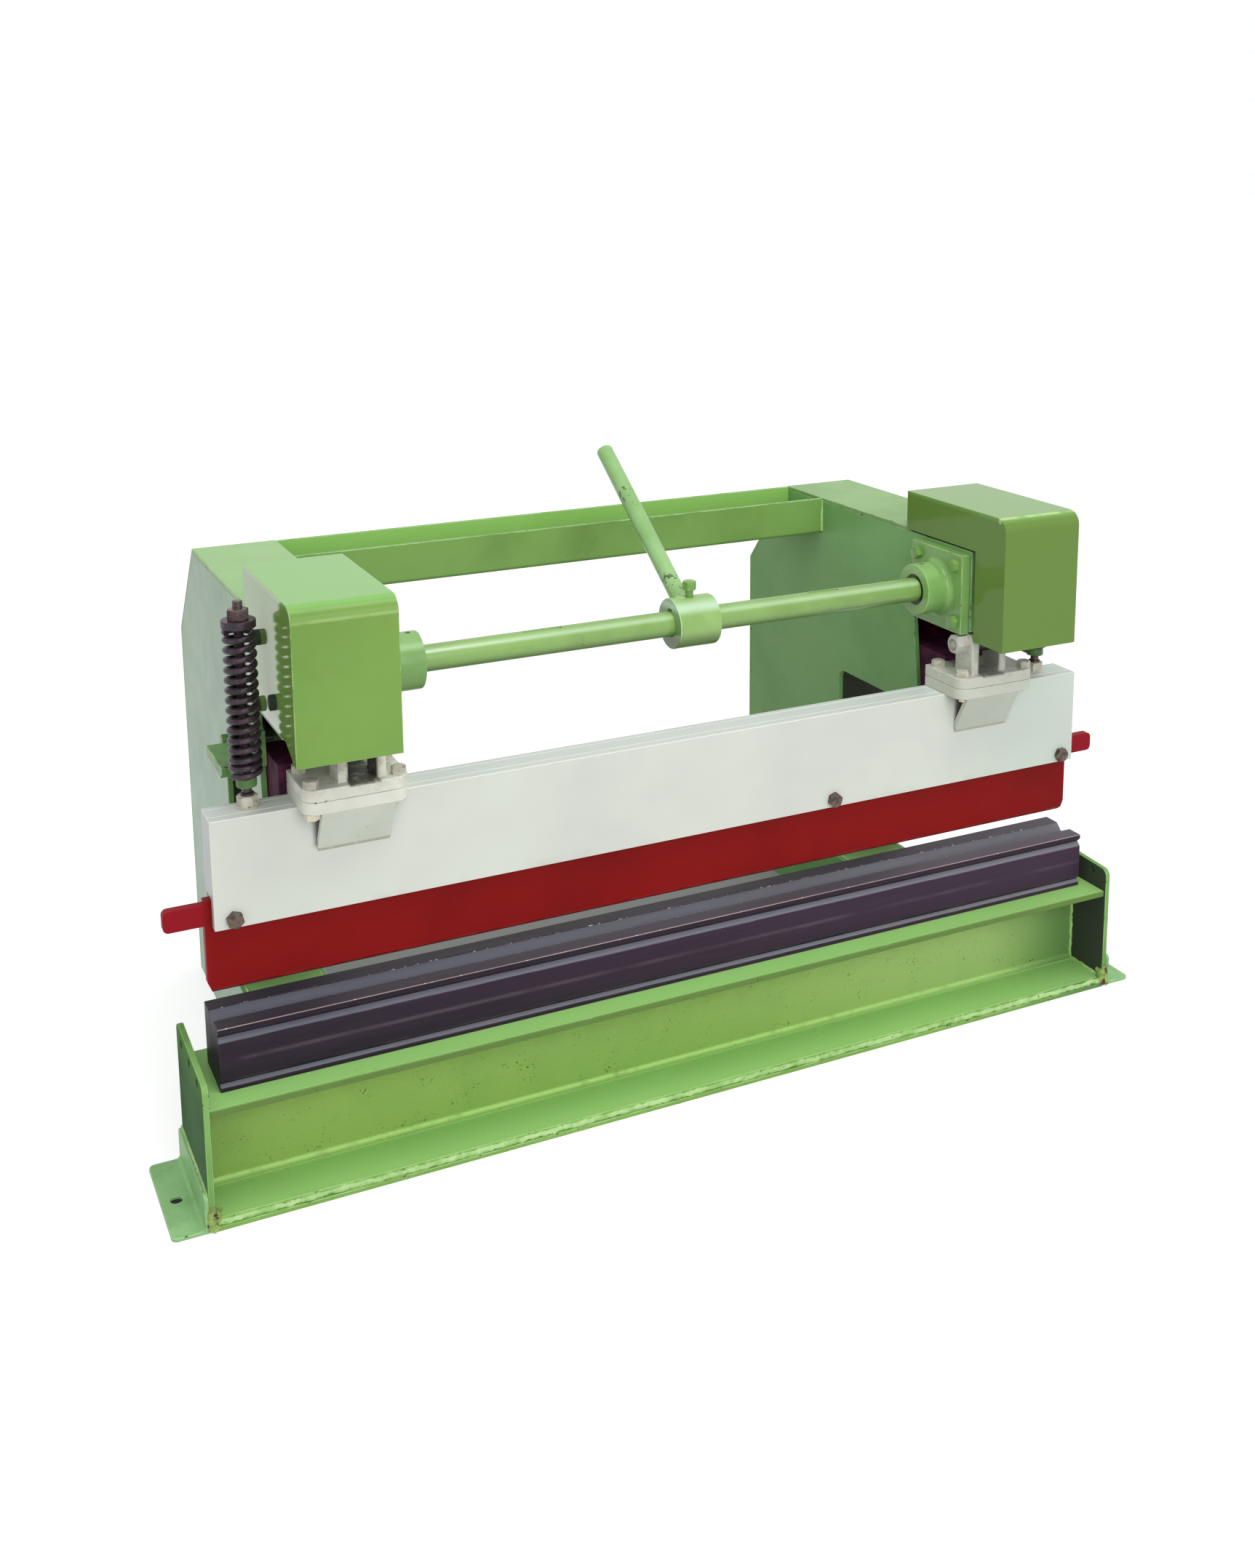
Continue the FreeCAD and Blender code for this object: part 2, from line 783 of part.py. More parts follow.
def spring_bracket(side):
    thick = cell.bracket_thick
    length = (cell.bracket_front, bracket_back)
    shelf = block(across(side, frame_outer, bracket_outer), length, (bracket_top - thick, bracket_top))
    lip_top = bracket_top - thick
    lip = block(across(side, bracket_outer - cell.bracket_lip, bracket_outer), length,
                (lip_top - cell.bracket_lip_drop, lip_top))
    upright = block(across(side, frame_outer, frame_outer + thick), length,
                    (bracket_top - thick, bracket_top + cell.bracket_upright))
    half = cell.tongue_width / 2
    tongue = block(across(side, rod_place - half, rod_place + half),
                   (cell.rod_back, cell.bracket_front + thick), (collar_low, bracket_top))
    centre = (rod_place * side, cell.rod_back, collar_low)
    collar = rod("Z", centre, cell.collar_height, cell.collar_radius)
    bore = rod("Z", centre, cell.collar_height, cell.collar_bore / 2)
    drills = [rod_between(side, frame_outer, frame_outer + thick, y, z, cell.bolt_shank / 2)
              for y, z in bracket_bolt_places()]
    return cut(join(shelf, lip, upright, tongue, collar), bore, *drills)


def bracket_bolts():
    face = frame_outer + cell.bracket_thick
    bolts = [side_bolt(side, face, outer_wall, y, z, cell.bolt_flats, cell.bolt_head, cell.bolt_shank)
             for _, side in SIDES for y, z in bracket_bolt_places()]
    return group(*bolts)


# return springs
def coil_points():
    """The wire's centre line at each quarter turn, from the lower seat up."""
    turns, wire = float(cell.spring_turns), float(cell.spring_wire)
    end_pitch = float(cell.spring_end_pitch)
    radius = float(cell.spring_radius)
    tip_drop = wire * end_pitch / (2 * math.pi * radius) + 0.02
    closed_low, closed_high = int(cell.closed_turns_low.value * 4), int(cell.closed_turns_high.value * 4)
    closed_climb = end_pitch * (closed_low + closed_high) / 4
    climb = float(cell.spring_length) - wire - 2 * tip_drop - closed_climb
    pitch = climb * 4 / (turns * 4 - closed_low - closed_high)
    steps = int(round(turns * 4))
    heights, high = [], wire / 2 + tip_drop
    for step in range(steps + 1):
        heights.append(high)
        closed = step < closed_low or step >= steps - closed_high
        high += (end_pitch if closed else pitch) / 4
    spots, ways = [], []
    for step, height in enumerate(heights):
        turn = step * math.pi / 2
        spots.append(Vector(radius * math.cos(turn), radius * math.sin(turn), height))
        below, above = max(step - 1, 0), min(step + 1, steps)
        slope = (heights[above] - heights[below]) / (above - below)
        rise = slope / (radius * math.pi / 2)
        ways.append(Vector(-math.sin(turn), math.cos(turn), rise).normalize())
    return spots, ways


def arc_from(start, corner, end):
    """The arc that leaves start and reaches end along the two equal legs to the corner."""
    middle = (start + end) * 0.5
    leg = (corner - start).Length
    half = (end - start).Length / 2
    rise = (corner - middle).Length
    radius = leg * half / rise
    sagitta = radius - math.sqrt(radius * radius - half * half)
    return Part.Arc(start, middle + (corner - middle).normalize() * sagitta, end).toShape()


def biarc(start, way_in, end, way_out):
    """Two arcs that join two points and leave and reach them along the given ways."""
    span, both = end - start, way_in + way_out
    a = both.dot(both) - 4
    b = -2 * span.dot(both)
    c = span.dot(span)
    leg = (-b - math.sqrt(b * b - 4 * a * c)) / (2 * a)
    first, second = start + way_in * leg, end - way_out * leg
    meet = (first + second) * 0.5
    return [arc_from(start, first, meet), arc_from(meet, second, end)]


def coil_shape():
    """One unbroken round wire with closed end turns and a straight tip at either end."""
    spots, ways = coil_points()
    wire = float(cell.spring_wire)
    first_tip = spots[0] - ways[0] * wire
    last_tip = spots[-1] + ways[-1] * wire
    edges = [Part.LineSegment(first_tip, spots[0]).toShape()]
    for index in range(len(spots) - 1):
        edges += biarc(spots[index], ways[index], spots[index + 1], ways[index + 1])
    edges.append(Part.LineSegment(spots[-1], last_tip).toShape())
    path = Part.Wire(edges)
    ring = Part.Wire(Part.makeCircle(wire / 2, first_tip, ways[0]))
    solid = path.makePipeShell([ring], True, False)
    print("spring wire gap", round(coil_gap(path), 2), "volume share",
          round(solid.Volume / (path.Length * math.pi * wire * wire / 4), 4))
    return solid


def coil_gap(path):
    """The least gap of the wire to itself, from points along its centre line."""
    count = int(float(cell.spring_turns) * 24)
    spots = path.discretize(count)
    apart = path.Length / (count - 1)
    skip = int(math.pi * float(cell.spring_radius) / apart)
    least = min((spots[i] - spots[j]).Length for i in range(count) for j in range(i + skip, count))
    return least - float(cell.spring_wire)


def spring(side, shape):
    made = doc.addObject("Part::Feature", "spring")
    made.Shape = shape
    place(made, rod_place * side, cell.rod_back, bracket_top)
    return made


# drive shaft
key_low = shaft_height + cell.shaft_radius - cell.key_sunk
key_high = key_low + cell.key_height
key_half = cell.key_width / 2
link_inner = link_centre - cell.link_thick / 2
link_outer = link_centre + cell.link_thick / 2


def key_places():
    """The X ranges of the keys: one in the handle hub and one in each eccentric."""
    inset = cell.key_width / 2
    hub = (-cell.hub_left + inset, cell.hub_right - inset)
    return [hub] + [across(side, link_inner + 1, link_outer + 1) for _, side in SIDES]


def key_block(span, high):
    back = cell.shaft_back
    return block(span, (back - key_half, back + key_half), (key_low, high))


def drive_shaft():
    bar = rod("X", (-shaft_reach, *shaft_at), shaft_reach * 2, cell.shaft_radius)
    spare = [(-cell.keyway_left_start, -cell.keyway_left_end),
             (cell.keyway_right_start, cell.keyway_right_end)]
    return cut(bar, *[key_block(span, key_high) for span in key_places() + spare])


def shaft_keys():
    return group(*[key_block(span, key_high) for span in key_places()])


def handle_hub():
    span = (-cell.hub_left, cell.hub_right)
    width = cell.hub_right + cell.hub_left
    start = (-cell.hub_left, *shaft_at)
    tap = rod("Z", (cell.screw_place, cell.shaft_back, key_high), cell.hub_radius, cell.bolt_shank / 2)
    return cut(rod("X", start, width, cell.hub_radius), rod("X", start, width, cell.shaft_radius),
               key_block(span, key_high + cell.key_gap), tap)


def handle_bar():
    """The round lever, welded to the hub and leaning back at rest."""
    back, up = shaft_at
    bar = doc.addObject("Part::Cylinder", "bar")
    bar.Placement = Placement(Vector(), Rotation(Vector(1, 0, 0), float(cell.handle_angle) - 90))
    bar.setExpression("Radius", cell.handle_radius.formula)
    bar.setExpression("Height", cell.handle_reach.formula)
    place(bar, cell.handle_place, back, up)
    start = (-cell.hub_left, back, up)
    return cut(bar, rod("X", start, cell.hub_right + cell.hub_left, cell.hub_radius))


def hub_screw():
    at = (cell.screw_place, cell.shaft_back)
    neck_top = shaft_height + cell.hub_radius + cell.screw_neck
    stem = rod("Z", (*at, key_high), neck_top - key_high, cell.bolt_shank / 2)
    return join(stem, hexagon("Z", (*at, neck_top), cell.screw_head, cell.bolt_flats))


# eccentrics and links
crank_at = (cell.shaft_back - cell.throw, shaft_height + cell.throw)
pin_at = (-cell.pin_front, pin_height)


def eccentric(side):
    """A disc keyed off centre on the shaft, with a hub on its outer side."""
    disc = rod_between(side, link_inner, link_outer, *crank_at, cell.eccentric_radius)
    hub_end = link_outer + cell.eccentric_hub_length
    hub = rod_between(side, link_outer - 1, hub_end, *shaft_at, cell.eccentric_hub_radius)
    bore = rod_between(side, link_inner, hub_end, *shaft_at, cell.shaft_radius)
    keyway = key_block(across(side, link_inner, hub_end), key_high + cell.key_gap)
    return cut(join(disc, hub), bore, keyway)


def stadium(side, y_range, z, radius):
    """A round-ended bar or slot along Y, through the link's thickness."""
    ends = [rod_between(side, link_inner, link_outer, y, z, radius) for y in y_range]
    middle = block(across(side, link_inner, link_outer), y_range, (z - radius, z + radius))
    return join(*ends, middle)


def link(side):
    """The connecting link: a strap round the eccentric and a slotted eye for the ram's pin.

    The strap turns back on the eccentric as far as the shaft turns, so the link stays upright
    and the eye swings forward with the eccentric's bulge; the slot leaves room for that."""
    pin_y, pin_z = pin_at
    crank_y, crank_z = crank_at
    slot_start = pin_y + cell.eye_gap - cell.seat_gap
    slot_end = pin_y + cell.throw * (math.sqrt(2) - 1)
    eye_radius = cell.pin_radius + cell.eye_gap + cell.eye_wall
    strap = rod_between(side, link_inner, link_outer, *crank_at, cell.eccentric_radius + cell.strap_wall)
    half = cell.shank_width / 2
    root = crank_z - cell.shank_root
    shank = plate("YZ_Plane", [(crank_y - half, root), (slot_start - eye_radius, pin_z),
                               (slot_end + eye_radius, pin_z), (crank_y + half, root)],
                  across(side, link_inner, link_outer)[0], cell.link_thick)
    eye = stadium(side, (slot_start, slot_end), pin_z, eye_radius)
    bore = rod_between(side, link_inner, link_outer, *crank_at, cell.eccentric_radius + cell.running_gap)
    slot = stadium(side, (slot_start, slot_end), pin_z, cell.pin_radius + cell.eye_gap)
    return cut(join(strap, shank, eye), bore, slot)


# ram
ram_front_face = -cell.ram_front
ram_back_face = ram_front_face + cell.ram_depth
front_inside = ram_front_face + cell.ram_front_thick
back_inside = ram_back_face - cell.ram_back_thick
blade_back = front_inside + cell.blade_thick
clamp_height = ram_low + cell.clamp_bolt_rise
blade_top = ram_low + cell.blade_sunk
guide_low = ram_top - cell.guide_drop
clamp_places = (cell.clamp_bolt_left - ram_end, cell.clamp_bolt_middle, ram_end - cell.clamp_bolt_right)


def clamp_drills(front, back):
    radius = cell.clamp_bolt_shank / 2
    return [rod("Y", (x, front, clamp_height), back - front, radius) for x in clamp_places]


def ram_front_plate():
    span = (ram_front_face, front_inside)
    return cut(block((-ram_end, ram_end), span, (ram_low, ram_top)), *clamp_drills(*span))


def ram_back_plate():
    span = (back_inside, ram_back_face)
    return cut(block((-ram_end, ram_end), span, (ram_low, ram_top)), *clamp_drills(*span))


def ram_top_plate():
    return block((-ram_end, ram_end), (front_inside, back_inside), (ram_top - cell.ram_top_thick, ram_top))


def ram_end_plates():
    """The two caps that close the ram's box above the blade."""
    caps = [block(across(side, ram_end - cell.ram_end_thick, ram_end), (front_inside, back_inside),
                  (blade_top, ram_top - cell.ram_top_thick)) for _, side in SIDES]
    return group(*caps)


def backing_bar():
    end = ram_end - cell.ram_end_thick
    return block((-end, end), (front_inside, back_inside),
                 (blade_top, blade_top + cell.backing_height))


def packing_bar():
    span = (blade_back, back_inside)
    return cut(block((-ram_end, ram_end), span, (ram_low, blade_top)), *clamp_drills(*span))


def punch_blade():
    end, low, middle = ram_end + cell.blade_overhang, blade_low, -cell.blade_shift
    ear_end, ear_low = end + cell.ear_length, ram_low + cell.ear_rise
    ear_high = ear_low + cell.ear_height
    half = [(end, blade_top), (end, ear_high), (ear_end, ear_high), (ear_end, ear_low), (end, ear_low),
            (end, low + cell.blade_tip_rise), (end - cell.blade_tip_cut, low)]
    points = [(middle + x, z) for x, z in half] + [(middle - x, z) for x, z in reversed(half)]
    made = plate("XZ_Plane", points, front_inside, cell.blade_thick)
    tips = [points[2], points[3], points[-3], points[-4]]
    made = rounded(made, "xz", tips, cell.ear_corner)
    doc.recompute()
    base = made.Tip
    nose = made.newObject("PartDesign::Chamfer", "nose")
    nose.Base = (base, edges_through(base.Shape, "yz", [(front_inside, low), (blade_back, low)]))
    nose.setExpression("Size", cell.blade_bevel.formula)
    made.Tip = nose
    return cut(made, *clamp_drills(front_inside, blade_back))


def clamp_bolts():
    bolts = []
    for x in clamp_places:
        head = hexagon("Y", (x, ram_front_face - cell.bolt_head, clamp_height), cell.bolt_head,
                       cell.clamp_bolt_flats)
        shank = rod("Y", (x, ram_front_face, clamp_height), cell.ram_depth, cell.clamp_bolt_shank / 2)
        bolts.append(join(head, shank))
    return group(*bolts)


def ram_guides():
    """The blocks on the ram's back that slide between the frame plates."""
    span = (ram_back_face, ram_back_face + cell.guide_depth)
    blocks = [block(across(side, inner_wall + cell.guide_gap, outer_wall - cell.guide_gap), span,
                    (guide_low, guide_low + cell.guide_height)) for _, side in SIDES]
    return group(*blocks)


# clevises
clevis_inner = clevis_centre - cell.clevis_width / 2
clevis_outer = clevis_centre + cell.clevis_width / 2


def clevis_bolt_places(side):
    spots = []
    for step in (-1, 1):
        x = (clevis_centre + step * cell.clevis_bolt_side) * side
        spots += [(x, -cell.clevis_bolt_front), (x, cell.clevis_bolt_back)]
    return spots


def clevis_drills(side, low, high):
    return [rod("Z", (x, y, low), high - low, cell.bolt_shank / 2) for x, y in clevis_bolt_places(side)]


def clevis_slab(side, low, high):
    """One of the two rounded plates that are bolted together on the ram."""
    inner, outer = across(side, clevis_inner, clevis_outer)
    front, back = -cell.clevis_front, ram_back_face
    points = [(inner, front), (outer, front), (outer, back), (inner, back)]
    made = plate("XY_Plane", points, low, high - low)
    return rounded(made, "xy", [points[0], points[1]], cell.clevis_corner)


def clevis_base(side):
    """The lower plate, welded to the ram and propped in front by a sloping gusset."""
    slab = clevis_slab(side, ram_top, seam)
    front = -cell.gusset_top_front
    face = ram_front_face
    foot = ram_top - cell.gusset_drop
    points = [(front, ram_top), (face, foot), (face, foot + cell.gusset_thick * 2),
              (front + cell.gusset_thick, ram_top)]
    reach, gap = cell.clevis_bolt_side, cell.gusset_gap
    inner = clevis_centre - reach + cell.bolt_shank / 2 + gap
    outer = clevis_centre + reach - cell.bolt_flats * HEX_REACH - gap
    gusset = plate("YZ_Plane", points, across(side, inner, outer)[0], outer - inner)
    return cut(join(slab, gusset), *clevis_drills(side, ram_top, seam))


def clevis(side):
    """The upper plate with its two lugs, one weldment."""
    pin_y, pin_z = pin_at
    slab = clevis_slab(side, seam, clevis_top)
    half = cell.lug_width / 2
    high = pin_z + cell.lug_head
    near = link_centre - cell.lug_gap / 2
    far = link_centre + cell.lug_gap / 2
    pieces = [slab]
    for inner in (near - cell.lug_thick, far):
        points = [(pin_y - half, clevis_top), (pin_y + half, clevis_top), (pin_y + half, high),
                  (pin_y - half, high)]
        low, _ = across(side, inner, inner + cell.lug_thick)
        lug = plate("YZ_Plane", points, low, cell.lug_thick)
        pieces.append(rounded(lug, "yz", [points[2], points[3]], cell.lug_corner))
    bore = rod_between(side, near - cell.lug_thick, far + cell.lug_thick, *pin_at, cell.pin_radius)
    return cut(join(*pieces), bore, *clevis_drills(side, seam, clevis_top))


def link_pins():
    """The shouldered bolts that carry the links' eyes, each with its hexagon head inward."""
    head = link_centre - cell.lug_gap / 2 - cell.lug_thick
    far = link_centre + cell.lug_gap / 2 + cell.lug_thick
    pins = [side_bolt(side, head, far, *pin_at, cell.pin_head_flats, cell.pin_head_length,
                      cell.pin_radius * 2) for _, side in SIDES]
    return group(*pins)


def clevis_bolts():
    """The bolts through the two plates. The front ones stick out below, the left-hand one in a nut."""
    pieces = []
    for _, side in SIDES:
        for x, y in clevis_bolt_places(side):
            in_front = float(y) < 0
            under_nut = in_front and float(x) < -float(clevis_centre)
            below = cell.clevis_nut if under_nut else cell.clevis_tip
            low = ram_top - below if in_front else ram_top
            head = hexagon("Z", (x, y, clevis_top), cell.clevis_bolt_head, cell.bolt_flats)
            pieces.append(join(head, rod("Z", (x, y, low), clevis_top - low, cell.bolt_shank / 2)))
            if under_nut:
                nut = hexagon("Z", (x, y, low), cell.clevis_nut, cell.bolt_flats)
                pieces.append(cut(nut, rod("Z", (x, y, low), cell.clevis_nut, cell.bolt_shank / 2)))
    return group(*pieces)


# spring rods
spring_top = bracket_top + cell.spring_length
washer_top = spring_top + cell.washer_thick
rod_top = washer_top + cell.rod_nut_height + cell.rod_tip
foot_top = ram_top + cell.rod_foot_height


def rod_ring(side, low, height, radius):
    at = (rod_place * side, cell.rod_back, low)
    return cut(rod("Z", at, height, radius), rod("Z", at, height, cell.rod_radius))


def rod_feet():
    """The nuts, welded to the ram's top, that hold the rods."""
    nuts = []
    for _, side in SIDES:
        at = (rod_place * side, cell.rod_back, ram_top)
        nut = hexagon("Z", at, cell.rod_foot_height, cell.rod_foot_flats)
        nuts.append(cut(nut, rod("Z", at, cell.rod_foot_height, cell.rod_radius)))
    return group(*nuts)


def spring_rods():
    length = rod_top - ram_top
    bars = [rod("Z", (rod_place * side, cell.rod_back, ram_top), length, cell.rod_radius)
            for _, side in SIDES]
    return group(*bars)


def spring_washers():
    return group(*[rod_ring(side, spring_top, cell.washer_thick, cell.washer_radius) for _, side in SIDES])


def rod_nuts():
    """The nut on top of each rod and the ring on its foot."""
    pieces = []
    for _, side in SIDES:
        at = (rod_place * side, cell.rod_back, washer_top)
        nut = hexagon("Z", at, cell.rod_nut_height, cell.rod_nut_flats)
        pieces.append(cut(nut, rod("Z", at, cell.rod_nut_height, cell.rod_radius)))
        pieces.append(rod_ring(side, foot_top, cell.stop_ring_height, cell.stop_ring_radius))
    return group(*pieces)


keep(base_beam(), "base_beam")
keep(base_plate(), "base_plate")
keep(die_block(), "die_block")
keep(tie_channel(), "tie_channel")
coil = coil_shape()
for name, side in SIDES:
    keep(end_plate(side), "end_plate_" + name)
    keep(foot_angle(side), "foot_angle_" + name)
    keep(inner_frame_plate(side), "frame_plate_%s_inner" % name)
    keep(outer_frame_plate(side), "frame_plate_%s_outer" % name)
    keep(rear_cover(side), "rear_cover_" + name)
    keep(throat_plate(side), "throat_plate_" + name)
    keep(hood(side), "hood_" + name)
    keep(inner_bearing(side), "bearing_%s_inner" % name)
    keep(outer_bearing(side), "bearing_%s_outer" % name)
    keep(bush(side), "bearing_bush_" + name)
    keep(spring_bracket(side), "spring_bracket_" + name)
    keep(spring(side, coil), "return_spring_" + name)
    keep(eccentric(side), "eccentric_" + name)
    keep(link(side), "link_" + name)
    keep(clevis_base(side), "clevis_base_" + name)
    keep(clevis(side), "clevis_" + name)
keep(bearing_bolts(), "bearing_bolts")
keep(hood_bolts(), "hood_bolts")
keep(frame_spacers(), "frame_spacers")
keep(bracket_bolts(), "bracket_bolts")
keep(drive_shaft(), "drive_shaft")
keep(shaft_keys(), "shaft_keys")
keep(handle_hub(), "handle_hub")
keep(handle_bar(), "handle_bar")
keep(hub_screw(), "hub_screw")
keep(ram_front_plate(), "ram_front_plate")
keep(ram_back_plate(), "ram_back_plate")
keep(ram_top_plate(), "ram_top_plate")
keep(ram_end_plates(), "ram_end_plates")
keep(backing_bar(), "backing_bar")
keep(packing_bar(), "packing_bar")
keep(punch_blade(), "punch_blade")
keep(clamp_bolts(), "clamp_bolts")
keep(ram_guides(), "ram_guides")
keep(link_pins(), "link_pins")
keep(clevis_bolts(), "clevis_bolts")
keep(rod_feet(), "rod_feet")
keep(spring_rods(), "spring_rods")
keep(spring_washers(), "spring_washers")
keep(rod_nuts(), "rod_nuts")

doc.recompute()
for item in doc.Objects:
    if "Invalid" in item.State or "Error" in item.State:
        raise ValueError("%s did not build: %s" % (item.Name, item.State))
for item in subparts:
    if item.Shape.isNull() or not item.Shape.isValid() or not item.Shape.Solids:
        raise ValueError("%s has no sound shape" % item.Label)

os.makedirs("parts", exist_ok=True)
for item in subparts:
    item.Shape.exportStep("parts/%s.step" % item.Label)
print(len(subparts), "sub-parts,", sum(len(item.Shape.Solids) for item in subparts), "solids")
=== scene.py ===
import json
import math

import bpy
from mathutils import Matrix, Vector

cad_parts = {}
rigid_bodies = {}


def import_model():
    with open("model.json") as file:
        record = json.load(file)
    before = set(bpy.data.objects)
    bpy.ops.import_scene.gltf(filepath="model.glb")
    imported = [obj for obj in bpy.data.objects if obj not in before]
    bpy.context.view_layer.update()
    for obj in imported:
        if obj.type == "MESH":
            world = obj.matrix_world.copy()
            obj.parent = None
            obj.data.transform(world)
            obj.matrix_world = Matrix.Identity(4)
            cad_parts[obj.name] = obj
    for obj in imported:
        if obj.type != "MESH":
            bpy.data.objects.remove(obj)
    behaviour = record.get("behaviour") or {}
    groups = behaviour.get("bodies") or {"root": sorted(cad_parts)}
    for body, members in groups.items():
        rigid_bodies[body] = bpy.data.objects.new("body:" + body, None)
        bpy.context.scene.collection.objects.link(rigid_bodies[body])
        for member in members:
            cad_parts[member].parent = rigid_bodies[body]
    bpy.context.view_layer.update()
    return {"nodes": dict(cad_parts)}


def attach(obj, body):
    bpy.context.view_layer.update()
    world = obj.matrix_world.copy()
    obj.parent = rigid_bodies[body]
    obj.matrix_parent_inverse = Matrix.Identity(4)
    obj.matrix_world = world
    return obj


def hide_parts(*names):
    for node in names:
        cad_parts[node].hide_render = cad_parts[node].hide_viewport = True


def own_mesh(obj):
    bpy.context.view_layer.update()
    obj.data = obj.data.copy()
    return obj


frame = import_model()


# The studio: a white floor and room, soft light from above and from the front, and a camera at
# the press's left front corner, a little above it, as in the photograph.
FLOOR_TONE = (0.62, 0.62, 0.62, 1)
PAINTED_SHADOW_TONE = (0.14, 0.15, 0.14, 1)
HOLE_SHADE_TONE = (0.05, 0.05, 0.05, 1)
FLOOR_GLOW = (0.64, 0.64, 0.64, 1)
SHADE_SIDES, SHADE_FRONT, SHADE_BACK = (0.58, 0.46), (-0.04, 0.06), (0.70, 0.56)
ANCHOR_PLACE, ANCHOR_HOLE = 0.7145, 0.0085
ROOM_LIGHT = 0.68
CAMERA_PLACE = Vector((-0.9957, -1.9303, 1.2735))
CAMERA_HEADING = math.radians(25.44)
CAMERA_TILT = math.radians(10.54)
CAMERA_ROLL = math.radians(-0.46)
SENSOR_WIDTH = 36
PICTURE_LONG_SIDE = 2156
FOCAL_PIXELS = 2288.2
SHIFT_PIXELS = (-9.5, -438)


def shade(red, green, blue):
    """A screen colour, 0 to 255, as the linear colour that a shader takes."""
    def linear(level):
        level /= 255
        return level / 12.92 if level <= 0.04045 else ((level + 0.055) / 1.055) ** 2.4
    return (linear(red), linear(green), linear(blue), 1.0)


class Value:
    """A shader socket that can be used in sums, each of which adds its Math node."""

    def __init__(self, finish, socket):
        self.finish = finish
        self.socket = socket

    def sum(self, operation, first, second=0.0):
        return self.finish.node("ShaderNodeMath", {"operation": operation}, {0: first, 1: second})

    def __add__(self, other):
        return self.sum("ADD", self, other)

    def __sub__(self, other):
        return self.sum("SUBTRACT", self, other)

    def __rsub__(self, other):
        return self.sum("SUBTRACT", other, self)

    def __mul__(self, other):
        return self.sum("MULTIPLY", self, other)

    def __truediv__(self, other):
        return self.sum("DIVIDE", self, other)

    def __gt__(self, other):
        return self.sum("GREATER_THAN", self, other)

    def __lt__(self, other):
        return self.sum("LESS_THAN", self, other)

    def __abs__(self):
        return self.sum("ABSOLUTE", self)

    __radd__ = __add__
    __rmul__ = __mul__

    def ridges(self, pitch):
        """0 to 1 and back along the value, once in each pitch."""
        return 0.5 + 0.5 * self.sum("SINE", self * (2 * math.pi / pitch))

    def rise(self, low, high):
        """0 below low, 1 above high, smooth between."""
        return self.finish.node("ShaderNodeMapRange", {"interpolation_type": "SMOOTHSTEP"},
                                {"Value": self, "From Min": low, "From Max": high})

    def near(self, centre, reach):
        """1 at the centre, falling to 0 at the reach."""
        return (1 - abs(self - centre) / reach).rise(0.0, 1.0)


class Finish:
    """A material: its shader, and the colour, dullness, coat and relief that feed it."""

    def __init__(self, name, slot, **constants):
        self.material = bpy.data.materials.new(name)
        self.material.use_nodes = True
        self.slot = slot
        self.tree = self.material.node_tree
        self.shader = self.tree.nodes["Principled BSDF"]
        for socket, constant in constants.items():
            self.shader.inputs[socket.replace("_", " ")].default_value = constant
        self.place = self.node("ShaderNodeTexCoord", output="Object")
        self.colour = self.dull = self.relief = self.coat = None

    def node(self, kind, settings=None, inputs=None, output=0):
        made = self.tree.nodes.new(kind)
        for key, setting in (settings or {}).items():
            setattr(made, key, setting)
        for key, entry in (inputs or {}).items():
            if isinstance(entry, Value):
                self.tree.links.new(entry.socket, made.inputs[key])
            else:
                made.inputs[key].default_value = entry
        return Value(self, made.outputs[output])

    def noise(self, scale, detail=2.0, rough=0.5, stretch=None):
        where = self.place
        if stretch:
            where = self.node("ShaderNodeMapping", {}, {"Vector": where, "Scale": stretch})
        return self.node("ShaderNodeTexNoise", {}, {"Vector": where, "Scale": scale,
                                                   "Detail": detail, "Roughness": rough})

    def along(self, axis):
        return self.node("ShaderNodeSeparateXYZ", {}, {0: self.place}, axis)

    def mark(self, name):
        """An attribute of the piece, such as the rounding along its edges."""
        return self.node("ShaderNodeAttribute", {"attribute_name": name}, output="Fac")

    def mix(self, mask, first, second):
        """Two colours mixed by a mask."""
        return self.node("ShaderNodeMix", {"data_type": "RGBA"}, {0: mask, 6: first, 7: second}, 2)

    def ground(self, mask, tone, deep):
        """Starts the colour with a screen colour, and a deeper one where the mask is."""
        self.colour = self.mix(mask, shade(*tone), shade(*deep))

    def tint(self, mask, *tone):
        """Lays a screen colour over the colour so far, where the mask is."""
        self.colour = self.mix(mask, self.colour, shade(*tone))

    def seal(self, depth=0.0004):
        """Feeds the colour, the dullness, the coat and the relief, which is depth metres high."""
        links = self.tree.links
        links.new(self.colour.socket, self.shader.inputs["Base Color"])
        if self.dull:
            links.new(self.dull.socket, self.shader.inputs["Roughness"])
        if self.coat:
            links.new(self.coat.socket, self.shader.inputs["Coat Weight"])
        if self.relief:
            bump = self.node("ShaderNodeBump", {}, {"Distance": depth, "Height": self.relief})
            links.new(bump.socket, self.shader.inputs["Normal"])
        return self


